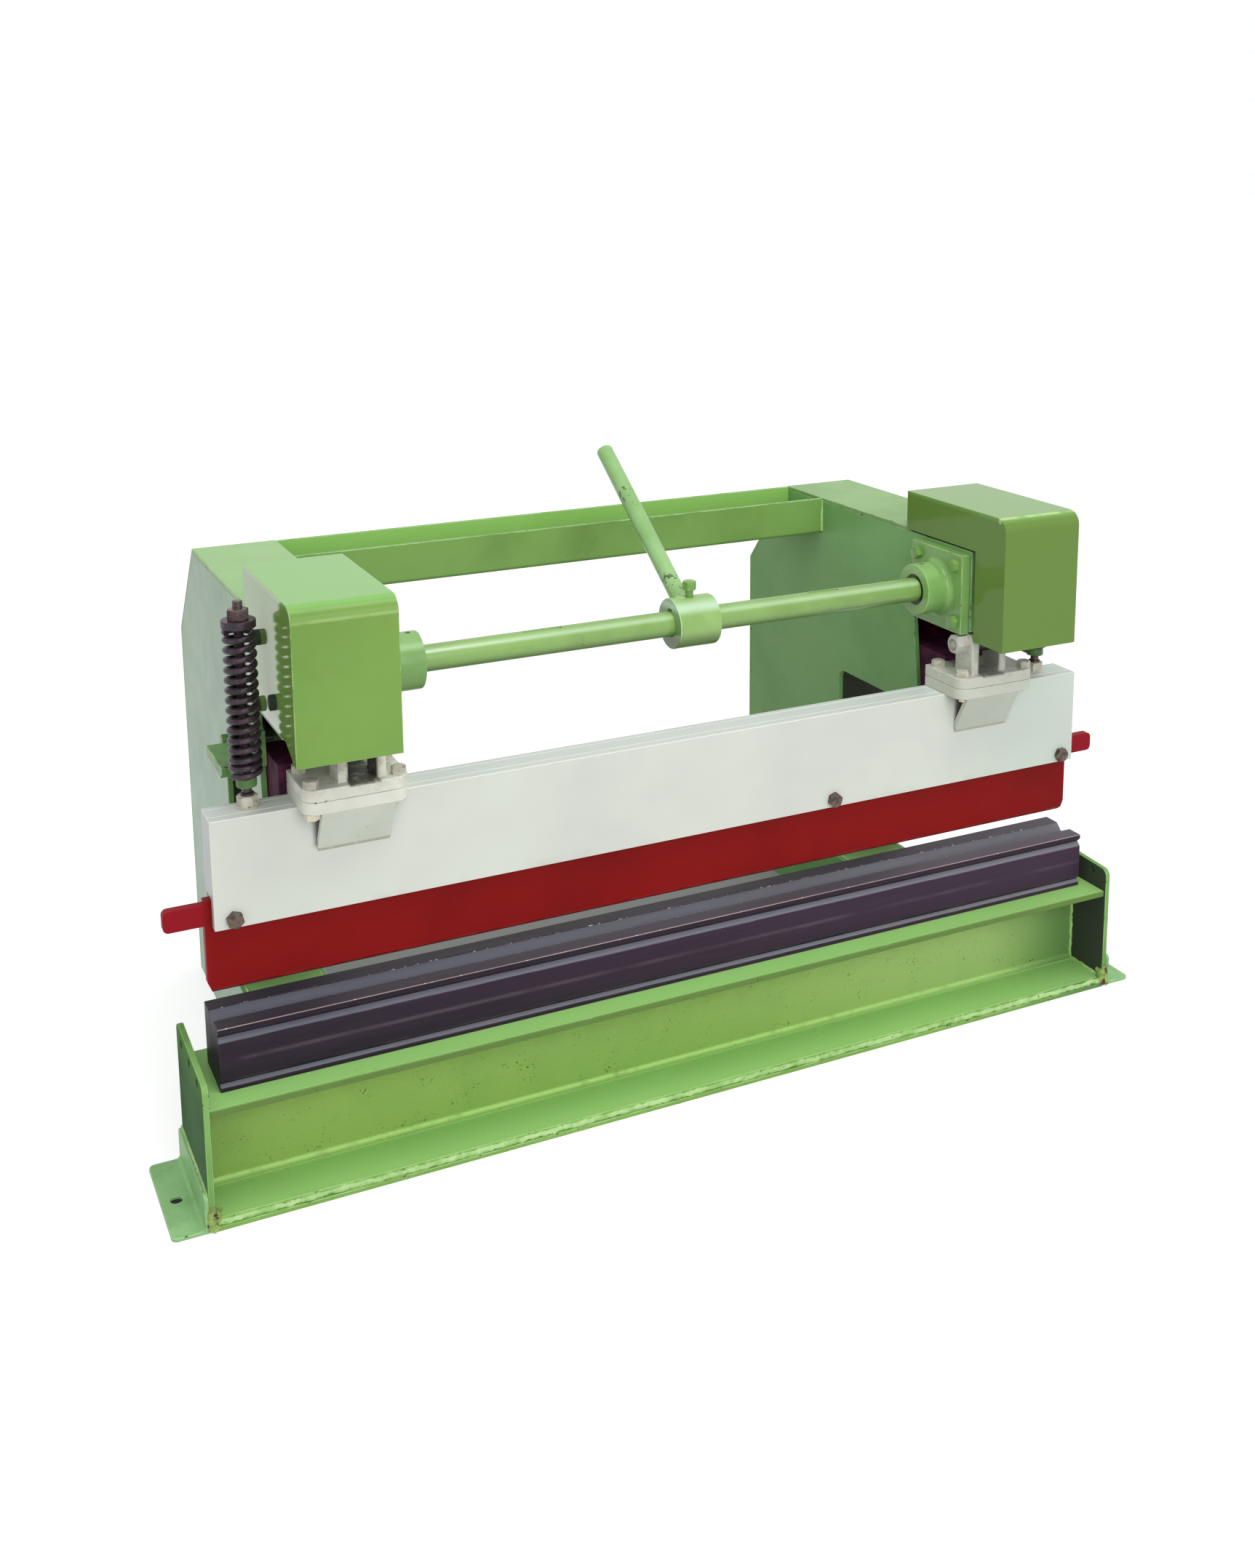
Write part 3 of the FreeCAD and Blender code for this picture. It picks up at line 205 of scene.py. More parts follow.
def light_room():
    """White to the camera and in glossy metal, and a plain soft light on the press."""
    world = bpy.data.worlds.new("studio")
    bpy.context.scene.world = world
    world.use_nodes = True
    nodes, links = world.node_tree.nodes, world.node_tree.links
    rays = nodes.new("ShaderNodeLightPath")
    either = nodes.new("ShaderNodeMath")
    either.operation = "MAXIMUM"
    links.new(rays.outputs["Is Camera Ray"], either.inputs[0])
    links.new(rays.outputs["Is Glossy Ray"], either.inputs[1])
    level = nodes.new("ShaderNodeMapRange")
    level.inputs["To Min"].default_value = ROOM_LIGHT
    level.inputs["To Max"].default_value = 1.0
    links.new(either.outputs[0], level.inputs["Value"])
    links.new(level.outputs[0], nodes["Background"].inputs["Strength"])
    nodes["Background"].inputs["Color"].default_value = (1, 1, 1, 1)


def paint_floor(floor):
    """White to the camera, with painted shadow under the frames and painted shade in the feet's
    anchor holes.
    """
    white = Finish("studio_floor", None, Roughness=0.9, Specular_IOR_Level=0.1,
                   Emission_Strength=1.0)
    seen = white.node("ShaderNodeLightPath", output="Is Camera Ray")
    mirrored = white.node("ShaderNodeLightPath", output="Is Glossy Ray")
    aside, behind = abs(white.along("X")), white.along("Y")
    # Painted shade in the anchor holes and painted shadow under the press: the floor is darker
    # there, and without its glow.
    off_centre = aside - ANCHOR_PLACE
    in_hole = (off_centre * off_centre + behind * behind) < ANCHOR_HOLE ** 2
    painted_shadow = aside.rise(*SHADE_SIDES) * behind.rise(*SHADE_FRONT) * behind.rise(*SHADE_BACK)
    white.colour = white.mix(painted_shadow * 0.75, FLOOR_TONE, PAINTED_SHADOW_TONE)
    white.colour = white.mix(in_hole, white.colour, HOLE_SHADE_TONE)
    white.seal()
    lit = (seen + mirrored) * (1 - in_hole) * (1 - 0.95 * painted_shadow)
    glow = white.mix(lit, (0, 0, 0, 1), FLOOR_GLOW)
    white.tree.links.new(glow.socket, white.shader.inputs["Emission Color"])
    floor.data.materials.append(white.material)


def hang_lamp(name, place, target, size, power):
    bpy.ops.object.light_add(type="AREA", location=place)
    lamp = bpy.context.object
    lamp.name = name
    lamp.rotation_euler = (Vector(target) - Vector(place)).to_track_quat("-Z", "Y").to_euler()
    lamp.data.size = size
    lamp.data.energy = power


bpy.context.scene.view_settings.view_transform = "Standard"
light_room()
bpy.ops.mesh.primitive_plane_add(size=60, location=(0, 0, 0))
floor = bpy.context.object
floor.name = "studio_floor"
paint_floor(floor)
hang_lamp("sky_panel", (0.1, -0.9, 3.2), (0, 0.1, 0.4), 1.2, 24)
hang_lamp("front_panel", (-0.3, -3.9, 2.1), (0, 0.1, 0.4), 2.4, 60)
bpy.ops.object.camera_add(location=CAMERA_PLACE)
camera = bpy.context.object
look = Matrix.Rotation(-CAMERA_HEADING, 4, "Z") @ Matrix.Rotation(math.pi / 2 - CAMERA_TILT, 4, "X")
camera.matrix_world = Matrix.Translation(CAMERA_PLACE) @ look @ Matrix.Rotation(CAMERA_ROLL, 4, "Z")
camera.data.sensor_width = SENSOR_WIDTH
camera.data.lens = SENSOR_WIDTH * FOCAL_PIXELS / PICTURE_LONG_SIDE
camera.data.shift_x = SHIFT_PIXELS[0] / PICTURE_LONG_SIDE
camera.data.shift_y = SHIFT_PIXELS[1] / PICTURE_LONG_SIDE
bpy.context.scene.camera = camera


# The base: a rolled wide-flange beam lying on a flat plate, both of mild steel. The plate is
# welded along the lower flange's edges, and the whole is sprayed green over rolled, pitted steel.
BASE_PALE = (176, 212, 142)
PIT_TONE = (66, 78, 38)
BARE_CHIP = (84, 66, 52)
PLATE_TOP = 0.006
BEAM_HALF = 0.681
SHELF, FLANGE_UNDER, BEAM_TOP = 0.015, 0.147, 0.156
FLANGE_EDGE = 0.075
WEB_FACE, ROOT_REACH = 0.004, 0.013
BEAD_PITCH = 0.004
SIDES = (("left", -1), ("right", 1))


def only(piece):
    """Selects one piece alone, out of edit mode."""
    if bpy.context.mode != "OBJECT":
        bpy.ops.object.mode_set(mode="OBJECT")
    bpy.ops.object.select_all(action="DESELECT")
    piece.select_set(True)
    bpy.context.view_layer.objects.active = piece


def fix_place(piece):
    """Puts a piece's place in its mesh, which leaves the piece at the origin, unturned."""
    only(piece)
    bpy.ops.object.transform_apply(location=True, rotation=True, scale=True)
    return piece


def pick(piece, kind, test):
    """Leaves a piece in edit mode with the vertices, edges or faces selected that pass a test
    of their middle and of their normal or direction."""
    only(piece)
    bpy.ops.object.mode_set(mode="EDIT")
    bpy.ops.mesh.select_mode(type=kind)
    bpy.ops.mesh.select_all(action="DESELECT")
    bpy.ops.object.mode_set(mode="OBJECT")
    spots = [vertex.co for vertex in piece.data.vertices]
    if kind == "VERT":
        for vertex in piece.data.vertices:
            vertex.select = test(vertex.co, vertex.normal)
    elif kind == "EDGE":
        for edge in piece.data.edges:
            first, last = (spots[corner] for corner in edge.vertices)
            edge.select = test((first + last) / 2, (last - first).normalized())
    else:
        for face in piece.data.polygons:
            face.select = test(face.center, face.normal)
    bpy.ops.object.mode_set(mode="EDIT")


def dress(finish, *nodes):
    """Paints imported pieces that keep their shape."""
    for node in nodes:
        piece = frame["nodes"][node]
        piece.data.materials.clear()
        piece.data.materials.append(finish.material)


def settle(piece, name, finish, body, *nodes, smooth=35):
    """Leaves a finished piece at the origin, painted, on the body that carries it."""
    fix_place(piece)
    bpy.ops.object.shade_smooth_by_angle(angle=math.radians(smooth))
    piece.name = piece.data.name = name
    piece.data.materials.clear()
    piece.data.materials.append(finish.material)
    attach(piece, body)
    if nodes:
        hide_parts(*nodes)


def rounded(node, width, finish, steps=2):
    """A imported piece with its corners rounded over, and marked where paint wears along them."""
    packed = frame["nodes"][node]
    piece = bpy.data.objects.new(node + "_rounded", packed.data.copy())
    bpy.context.scene.collection.objects.link(piece)
    only(piece)
    bpy.ops.mesh.customdata_custom_splitnormals_clear()
    bpy.ops.object.mode_set(mode="EDIT")
    bpy.ops.mesh.select_all(action="SELECT")
    bpy.ops.mesh.remove_doubles(threshold=0.00001)
    bpy.ops.mesh.dissolve_limited(angle_limit=math.radians(0.6))
    bpy.ops.object.mode_set(mode="OBJECT")
    piece.data.materials.clear()
    for _ in range(2):
        piece.data.materials.append(finish.material)
    round_over = piece.modifiers.new("round_over", "BEVEL")
    round_over.width, round_over.segments, round_over.material = width, steps, 1
    round_over.limit_method, round_over.angle_limit = "ANGLE", math.radians(32)
    round_over.use_clamp_overlap = round_over.loop_slide = False
    bpy.ops.object.modifier_apply(modifier="round_over")
    wear = piece.data.attributes.new("edge", "FLOAT", "FACE")
    wear.data.foreach_set("value", [float(face.material_index) for face in piece.data.polygons])
    piece.data.polygons.foreach_set("material_index", [0] * len(piece.data.polygons))
    piece.data.materials.pop()
    bpy.ops.object.shade_smooth()
    flats = piece.modifiers.new("flats", "WEIGHTED_NORMAL")
    flats.mode, flats.weight = "FACE_AREA", 50
    bpy.ops.object.modifier_apply(modifier="flats")
    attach(piece, packed.parent.name.split(":")[1])
    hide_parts(node)


def enamel(name, tone, deep, pale, slot="green_paint", patch=6, pits=0.5, chips=0.5, dull=0.36,
           shine=0.18, **constants):
    """Enamel sprayed over steel: patchy, pitted, wavy, chipped along the edges, and pale along them
    from wear and a painted highlight.
    """
    paint = Finish(name, slot, Specular_IOR_Level=shine, **constants)
    edge = paint.mark("edge")
    paint.ground(paint.noise(patch, 4, 0.6).rise(0.36, 0.66), tone, deep)
    pitted = paint.noise(15, 3, 0.6).rise(0.66 - 0.3 * pits, 0.84 - 0.3 * pits)
    crater = paint.noise(210, 2).rise(0.66, 0.74) * pitted
    paint.tint(crater * 0.75, *PIT_TONE)
    # Paler along the edges: worn paint, and a painted highlight.
    paint.tint(edge * paint.noise(34, 3).rise(0.36, 0.60) * 0.7, *pale)
    chip = edge * paint.noise(85, 3, 0.6).rise(0.70 - 0.14 * chips, 0.73 - 0.14 * chips)
    paint.tint(chip, *BARE_CHIP)
    paint.dull = dull + 0.16 * (paint.noise(24, 3) - 0.5) + 0.3 * crater
    paint.relief = 0.4 * paint.noise(26, 2) + 0.12 * paint.noise(240, 1) - crater - 0.5 * chip
    return paint


def heave(piece, strength, mid_level):
    """Pushes weld metal up into lumps."""
    lumps = piece.modifiers.new("heave", "DISPLACE")
    lumps.texture, lumps.texture_coords = weld_lumps, "LOCAL"
    lumps.strength, lumps.mid_level = strength, mid_level
    bpy.ops.object.modifier_apply(modifier="heave")


def weld_bead(name, start, end, radius, finish):
    """A run of weld metal laid along a seam: a rod cut into short lengths and heaved."""
    start, end = Vector(start), Vector(end)
    run = end - start
    bpy.ops.mesh.primitive_cylinder_add(vertices=10, radius=radius, depth=run.length,
                                        location=(start + end) / 2,
                                        rotation=run.to_track_quat("Z", "Y").to_euler())
    bead = fix_place(bpy.context.object)
    direction = run.normalized()
    cuts = max(1, round(math.sqrt(run.length / BEAD_PITCH)) - 1)
    for _ in range(2):
        pick(bead, "EDGE", lambda middle, lie: abs(lie.dot(direction)) > 0.99)
        bpy.ops.mesh.subdivide(number_cuts=cuts)
    bpy.ops.object.mode_set(mode="OBJECT")
    heave(bead, radius * 1.5, 0.55)
    settle(bead, name, finish, "frame", smooth=80)


weld_lumps = bpy.data.textures.new("weld_lumps", "CLOUDS")
weld_lumps.noise_scale = 0.007

base = enamel("base_green", (140, 184, 98), (128, 170, 84), BASE_PALE, pits=0.9, chips=0.35,
              dull=0.40, shine=0.15)
across, height = base.along("Y"), base.along("Z")
under_top = height < FLANGE_UNDER - 0.0005
web = (height > SHELF + 0.0005) * under_top * (abs(across) < ROOT_REACH + 0.001)
web_patch = base.noise(5, 4, 0.6).rise(0.30, 0.62)
base.tint(web * (0.35 + 0.65 * web_patch), 150, 186, 96)
# Painted light: the web is paler towards the right end.
far_end = base.along("X").rise(-0.1, 0.6)
base.tint(web * far_end * 0.4, 190, 218, 150)
speck = base.noise(400, 2).rise(0.63, 0.69) * base.noise(22, 4, 0.7).rise(0.50, 0.68)
shade_under_flange = height.rise(0.07, 0.146) * base.noise(26, 4, 0.7).rise(0.40, 0.66)
rust_low = height.rise(0.05, 0.016) * base.noise(40, 4, 0.75).rise(0.52, 0.68)
# Painted shade: the web is darker in patches just under the top flange.
base.tint(web * shade_under_flange * 0.35, 104, 124, 56)
base.tint(web * (speck + rust_low * speck), 62, 62, 36)
# Painted highlight along the web's root fillet, broken up. The relief is raised along it too.
root = height.near(SHELF + 0.0055, 0.0044) * (abs(across) < ROOT_REACH + 0.0005)
root = root * (0.35 + 0.65 * base.noise(40, 3).rise(0.25, 0.5))
base.tint(root * 0.9, 190, 236, 136)
# Painted shadow of the right end plate on the beam's right end, below the top flange.
end_plate_shadow = base.along("X").rise(0.50, 0.665) * under_top
base.tint(end_plate_shadow * 0.75, 84, 132, 72)
pocket = height.near(SHELF + 0.0125, 0.0075) * speck
base.tint(web * pocket, 70, 56, 34)
upper_face = height > BEAM_TOP - 0.0015
# Painted light: the top flange's top is paler.
base.tint(upper_face * 0.75, 168, 228, 132)
flange_edge_shade = (abs(across) > FLANGE_EDGE - 0.0009) * (height > FLANGE_UNDER - 0.001)
# Painted shade on the top flange's edge faces.
base.tint(flange_edge_shade * 0.85, 94, 122, 60)
scratch = base.noise(26, 4, 0.7, stretch=(0.6, 5, 1)).rise(0.64, 0.68) * upper_face
base.tint(scratch * 0.5, 176, 190, 170)
lower_shelf = (height < SHELF + 0.0012) * (height > SHELF - 0.0005)
# Painted light: the lower flange's top is paler.
base.tint(lower_shelf * 0.75, 168, 220, 132)
web_grain = web * (0.8 * base.noise(60, 3, 0.6) - speck)
base.relief = base.relief + web_grain + 1.5 * root
base.seal()
rounded("base_beam", 0.0012, base)
rounded("base_plate", 0.0010, base)

bead_paint = enamel("weld_green", (188, 224, 154), (150, 196, 114), BASE_PALE, patch=44, pits=0.9,
                    dull=0.34)
bead_paint.tint(bead_paint.noise(120, 3, 0.7).rise(0.66, 0.72) * 0.7, 122, 82, 54)
bead_paint.seal()
lump_paint = enamel("weld_lump", (164, 192, 110), (120, 144, 74), BASE_PALE, patch=70, pits=1.0,
                    dull=0.40)
lump_paint.tint(lump_paint.noise(90, 3, 0.7).rise(0.56, 0.64), 84, 60, 44)
lump_paint.seal()
for spot, lie in (("front", -FLANGE_EDGE), ("rear", FLANGE_EDGE)):
    weld_bead("plate_weld_" + spot, (-BEAM_HALF, lie, PLATE_TOP + 0.0028),
              (BEAM_HALF, lie, PLATE_TOP + 0.0028), 0.0043, bead_paint)


# The ends of the base: plates cut from 8 mm flat, drilled with three small holes, and welded
# over the beam's ends. An angle-iron foot with one anchor hole is welded to each, near the floor.
END_PLATE_FACE = 0.689
FOOT_TOP = 0.050
FOOT_SPAN = (-0.076, 0.084)
END_HOLE_HEIGHT, END_HOLE_PITCH, END_HOLE_RIM = 0.181, 0.050, 0.0054
END_HOLE_MIDDLE = 0.0035
CORNER_WELD = 0.0755
CORNER_WELD_TOP, TOE_WELD_TOP = 0.027, 0.034

ends = enamel("end_green", (136, 184, 106), (116, 160, 88), (170, 210, 142), pits=0.5, chips=0.6,
              dull=0.50, shine=0.0)
sideways, across, height = (ends.along(axis) for axis in "XYZ")
inner_face = abs(sideways) < BEAM_HALF + 0.0003
flat_faces = (abs(sideways) > END_PLATE_FACE - 0.0003) + inner_face
# Painted shade: the plates' flat faces are darker than their edges and lighter towards the top, and
# the inner faces are darker still.
shaded_flat_tone = ends.mix(ends.noise(7, 4, 0.6).rise(0.35, 0.65), shade(98, 129, 94),
                     shade(84, 113, 82))
shaded_flat_tone = ends.mix(height.rise(0.13, 0.20) * 0.6, shaded_flat_tone, shade(116, 160, 96))
ends.colour = ends.mix(flat_faces, ends.colour, shaded_flat_tone)
ends.tint(inner_face * 0.85, 62, 60, 60)
off_row = (height - END_HOLE_HEIGHT) * (height - END_HOLE_HEIGHT)
# Painted shade in the three holes.
for step in (-1, 0, 1):
    aside = across - (END_HOLE_MIDDLE + step * END_HOLE_PITCH)
    ends.tint(((aside * aside + off_row) < END_HOLE_RIM ** 2) * 0.85, 30, 30, 30)
smudge = height.rise(0.045, 0.0) * ends.noise(46, 4, 0.7).rise(0.50, 0.64)
ends.tint(smudge * 0.6, 92, 84, 48)
ends.seal()
foot_paint = enamel("foot_green", (158, 206, 144), (142, 188, 126), (184, 216, 164), patch=14,
                    pits=0.5, chips=0.6, dull=0.44, shine=0.12).seal()
for side, way in SIDES:
    rounded("end_plate_" + side, 0.0011, ends)
    rounded("foot_angle_" + side, 0.0011, foot_paint)
    face, inner = way * END_PLATE_FACE, way * (BEAM_HALF - 0.001)
    weld_bead("foot_weld_" + side, (face, FOOT_SPAN[0], FOOT_TOP), (face, FOOT_SPAN[1], FOOT_TOP),
              0.0026, bead_paint)
    weld_bead("shelf_weld_" + side, (inner, 0.003 - FLANGE_EDGE, SHELF + 0.0005),
              (inner, -WEB_FACE, SHELF + 0.0005), 0.003, bead_paint)
    weld_bead("web_weld_" + side, (inner, -WEB_FACE, SHELF + 0.003),
              (inner, -WEB_FACE, FLANGE_UNDER - 0.003), 0.003, bead_paint)
    for spot, lie in (("front", -CORNER_WELD), ("rear", CORNER_WELD)):
        weld_bead("%s_corner_weld_%s" % (spot, side), (inner + 0.0015 * way, lie, 0.003),
                  (inner, lie, CORNER_WELD_TOP), 0.0072, lump_paint)
        weld_bead("%s_toe_weld_%s" % (spot, side), (face - 0.003 * way, lie * 1.02, 0.003),
                  (face - 0.003 * way, lie * 1.02, TOE_WELD_TOP), 0.0056, lump_paint)


# The die: a milled bar of tool steel with the bending vee along its top and two small vees
# along its front, blackened and oiled. Its edges are rubbed bright where sheets slide over them,
# with a painted highlight along its lips; its faces that look up carry a painted sheen.
DIE_END = 0.6595
DIE_TOP, DIE_FRONT = 0.239, -0.040
VEE_REACH, VEE_ROOT = 0.015, 0.224
UPPER_GROOVE_SEAT, LOWER_GROOVE_SEAT = (0.2206, 0.2266), (0.1616, 0.1660)
GROOVE_DEPTH = (-0.0398, -0.0335)
UPPER_GROOVE_EDGE = 0.2326
RUBBED_HEIGHT = 0.196

die = Finish("blackened_die", "dark_steel", Specular_IOR_Level=0.16)
across, height = die.along("Y"), die.along("Z")
lines = die.noise(7, 4, 0.6, stretch=(1, 16, 16))
die.ground(lines.rise(0.30, 0.70), (46, 35, 49), (38, 28, 41))
top = height > DIE_TOP - 0.0006
front_face = across < DIE_FRONT + 0.0005
far_slope = (across > 0.0003) * (across < VEE_REACH - 0.0003) * (height > VEE_ROOT) * (1 - top)
painted_sheen = far_slope
for low, high in (UPPER_GROOVE_SEAT, LOWER_GROOVE_SEAT):
    painted_sheen = painted_sheen + ((height > low + 0.0003) * (height < high - 0.0003)
                     * (across < GROOVE_DEPTH[1]) * (across > GROOVE_DEPTH[0]))
worn = die.noise(4, 4, 0.65, stretch=(1, 5, 5)).rise(0.25, 0.6)
far_end = die.along("X").rise(-0.7, 0.7)
# The front face is paler towards the right end.
die.tint(front_face * far_end * 0.5, 74, 52, 76)
# Painted sheen: the faces that look up (the vee's far slope, the groove seats and the tops) are
# paler grey, more so towards the right end.
die.tint(painted_sheen * (0.72 + 0.28 * worn), 106, 108, 120)
die.tint(top * (0.20 + 0.70 * far_end), 94, 88, 98)
die.tint(painted_sheen * far_end * 0.45, 148, 146, 152)
rubbed = height.near(RUBBED_HEIGHT, 0.0045) * front_face
die.tint(rubbed * die.noise(5, 3, 0.6).rise(0.36, 0.62) * 0.4, 112, 98, 108)
edge = die.mark("edge")
die.tint(edge * die.noise(14, 3, 0.6).rise(0.38, 0.64) * 0.2, 140, 122, 132)
# The lips are paler: rubbed bright, with a painted highlight and bright specks along them.
lip = edge * (height > DIE_TOP - 0.002)
front_lip = lip * (across < DIE_FRONT + 0.002)
die.tint(front_lip * (0.45 + 0.4 * worn), 176, 156, 150)
under_lip = (height < DIE_TOP - 0.0022) * (height > UPPER_GROOVE_EDGE - 0.0002) * front_face
die.tint(under_lip * 0.7, 34, 24, 36)
die.tint(lip * die.noise(150, 3, 0.7).rise(0.60, 0.64), 222, 210, 206)
sawn_end = abs(die.along("X")) > DIE_END
die.tint(sawn_end * 0.8, 36, 28, 38)
die.dull = 0.46 + 0.16 * (lines - 0.5)
die.relief = 0.12 * lines + 0.10 * die.noise(160, 2, 0.5, stretch=(0.1, 1, 1))
die.seal(0.0002)
rounded("die_block", 0.0009, die)


# The side frames: two C-shaped plates each, flame-cut from 8 mm steel, with a folded strip
# welded over their top, slope and back and a second one in the throat. Green outside, and dark
# red primer left between the plates, under painted shade further back.
FRAME_PALE = (176, 204, 158)
INNER_PLATE, OUTER_PLATE = 0.445, 0.560
PLATE_THICK = 0.008
PLATE_SKIN = PLATE_THICK / 2 - 0.0002
PRIMED_FRONT = 0.26
HIGH_REFLECTION, LOW_REFLECTION = (0.36, 0.50), (0.52, 0.30)
COVER_TOP = 0.70
JAW_TOP = 0.110
JAW_FRONT, JAW_BACK = 0.006, 0.309
JAW_STRIP = 0.006
JAW_WELD = (0.09, JAW_BACK - 0.003)


def primed_inside(paint):
    """Lets the red primer show on all that faces the gap between a frame's two plates, with painted
    shade, dark green, over it further back.
    """
    sideways = abs(paint.along("X"))
    gap = (sideways > INNER_PLATE + PLATE_SKIN) * (sideways < OUTER_PLATE - PLATE_SKIN)
    primer = paint.mix(paint.noise(18, 4, 0.6).rise(0.35, 0.65), shade(142, 38, 88),
                       shade(84, 26, 56))
    # Painted shade: dark green over the primer further back in the gap.
    primer = paint.mix(paint.along("Y") > PRIMED_FRONT, primer, shade(52, 62, 46))
    paint.colour = paint.mix(gap, paint.colour, primer)


frame_paint = enamel("frame_green", (133, 182, 114), (118, 168, 100), FRAME_PALE, patch=4,
                     pits=0.25, chips=0.6, dull=0.30, shine=0.12, Coat_Roughness=0.12)
outside = abs(frame_paint.along("X")) > OUTER_PLATE + PLATE_SKIN
painted_reflection = frame_paint.noise(3.2, 3, 0.55).rise(0.32, 0.70)
high = frame_paint.along("Z").rise(*HIGH_REFLECTION)
low_reflection = frame_paint.along("Z").rise(*LOW_REFLECTION) * 0.6
# Painted shade and reflection: the outer faces are darker, with a pale, bluish painted reflection
# high up and low down.
frame_paint.tint(outside, 92, 130, 88)
frame_paint.tint(outside * high * (0.45 + 0.4 * painted_reflection), 120, 166, 124)
frame_paint.tint(outside * low_reflection, 118, 170, 138)
frame_paint.coat = outside * 0.22
primed_inside(frame_paint)
frame_paint.seal(0.0006)
cover = enamel("cover_green", (140, 184, 112), (126, 170, 98), FRAME_PALE, patch=5, pits=0.3,
               chips=0.4)
sideways, across, height = (cover.along(axis) for axis in "XYZ")
# Painted light: the left cover's top is paler.
cover.tint((sideways < 0) * (height > COVER_TOP) * 0.5, 168, 212, 142)
# Painted light on the jaw strips, which lie in the ram's shadow.
jaw_light = (height < JAW_TOP + 0.005) * (across < JAW_BACK + 0.001)
cover.tint(jaw_light * 0.8, 172, 222, 136)
cover.seal()
# Painted shade: the throat plates are dark green, for the shade between the frame plates.
throat_shade_paint = enamel("throat_green", (56, 68, 50), (42, 52, 38), (80, 94, 70), pits=0.4).seal()
for side, way in SIDES:
    for layer in ("inner", "outer"):
        rounded("frame_plate_%s_%s" % (side, layer), 0.0010, frame_paint)
    rounded("rear_cover_" + side, 0.0012, cover)
    dress(throat_shade_paint, "throat_plate_" + side)
    bpy.ops.mesh.primitive_cube_add(
        size=1, location=(way * (INNER_PLATE + OUTER_PLATE) / 2, (JAW_FRONT + JAW_BACK) / 2,
                          JAW_TOP - JAW_STRIP / 2),
        scale=(OUTER_PLATE - INNER_PLATE - PLATE_THICK, JAW_BACK - JAW_FRONT, JAW_STRIP))
    strip = fix_place(bpy.context.object)
    pick(strip, "EDGE", lambda middle, lie: abs(lie.z) < 0.5)
    bpy.ops.mesh.bevel(offset=0.0008, segments=2)
    settle(strip, "jaw_strip_" + side, cover, "frame")
    for seam in (INNER_PLATE + 0.0042, OUTER_PLATE - 0.0042):
        start, end = ((way * seam, along, JAW_TOP - 0.0005) for along in JAW_WELD)
        weld_bead("jaw_weld_%s_%d" % (side, round(seam * 1000)), start, end, 0.0022, bead_paint)


# The frames' spacers: a turned bar between the two plates of each frame, drawn up by a bolt with
# a round head. Plain steel, brushed with the same green as the frames.
spacer_paint = enamel("spacer_green", (110, 146, 84), (92, 124, 70), FRAME_PALE, patch=30).seal()
rounded("frame_spacers", 0.0010, spacer_paint)


# The tie: a channel folded from 6 mm sheet, lying open side up between the two frames, and
# welded to them at both ends. It keeps them square and stiffens the top of the press.
TIE_END = 0.4405
TIE_WALLS = (0.368, 0.482)
TIE_SHEET = 0.006
TIE_BOTTOM, TIE_TOP = 0.656, 0.715
TIE_BEAD = 0.0024

tie = enamel("tie_green", (128, 170, 90), (114, 154, 78), (176, 210, 150), patch=5, pits=0.4,
             chips=0.5)
across, rear_wall = tie.along("Y"), TIE_WALLS[1] - TIE_SHEET
# Painted light on the rear wall's inner face.
rear_wall_light = (across > rear_wall - 0.0005) * (across < rear_wall + 0.0005)
tie.tint(rear_wall_light * 0.8, 156, 208, 112)
tie.seal()
rounded("tie_channel", 0.0011, tie)
for side, way in SIDES:
    for spot, wall in zip(("front", "rear"), TIE_WALLS):
        weld_bead("tie_weld_%s_%s" % (spot, side), (way * TIE_END, wall, TIE_BOTTOM + 0.004),
                  (way * TIE_END, wall, TIE_TOP - 0.003), TIE_BEAD, bead_paint)
    weld_bead("tie_weld_under_" + side, (way * TIE_END, TIE_WALLS[0] + TIE_SHEET, TIE_BOTTOM),
              (way * TIE_END, TIE_WALLS[1] - TIE_SHEET, TIE_BOTTOM), TIE_BEAD, bead_paint)


# The inner bearings: flanged blocks of cast iron with a long turned boss and an oil hole, lined
# with a bronze sleeve. The outer ones are round and blind, bolted inside the outer plates.
SHAFT_BACK, SHAFT_HEIGHT = 0.028, 0.646
BOSS_ROOT = 0.412
OIL_HOLES, OIL_HOLE = (-0.384, 0.400), 0.0040
SLEEVE_LEFT_END, SLEEVE_RIGHT_END = 0.3735, (0.387, 0.3895)
TURNING_PITCH = 0.0008


def bare_steel(name, tone, deep, mottle, dull, grain, slot="dark_steel", worn=None, shine=0.5,
               **constants):
    """Unpainted steel or iron: mottled, uneven in its gloss, and worn along the edges."""
    steel = Finish(name, slot, Specular_IOR_Level=shine, **constants)
    scale, detail, rough, low, high = mottle
    steel.ground(steel.noise(scale, detail, rough).rise(low, high), tone, deep)
    if worn:
        steel.tint(steel.mark("edge") * 0.4, *worn)
    level, swing, spread = dull
    steel.dull = level + swing * (steel.noise(spread, 3) - 0.5)
    steel.relief = steel.noise(*grain)
    return steel


bearing = enamel("bearing_green", (130, 174, 98), (114, 156, 86), (160, 198, 124), patch=10,
                 pits=0.4, chips=0.3, dull=0.26, shine=0.4)
sideways, across, height = (bearing.along(axis) for axis in "XYZ")
# Painted shade: dark discs at the oil holes on the bosses' tops.
beside_hole = across - SHAFT_BACK
for place in OIL_HOLES:
    from_hole = sideways - place
    oil_hole = (from_hole * from_hole + beside_hole * beside_hole) < OIL_HOLE ** 2
    bearing.tint(oil_hole * (height > SHAFT_HEIGHT + 0.02), 22, 24, 18)
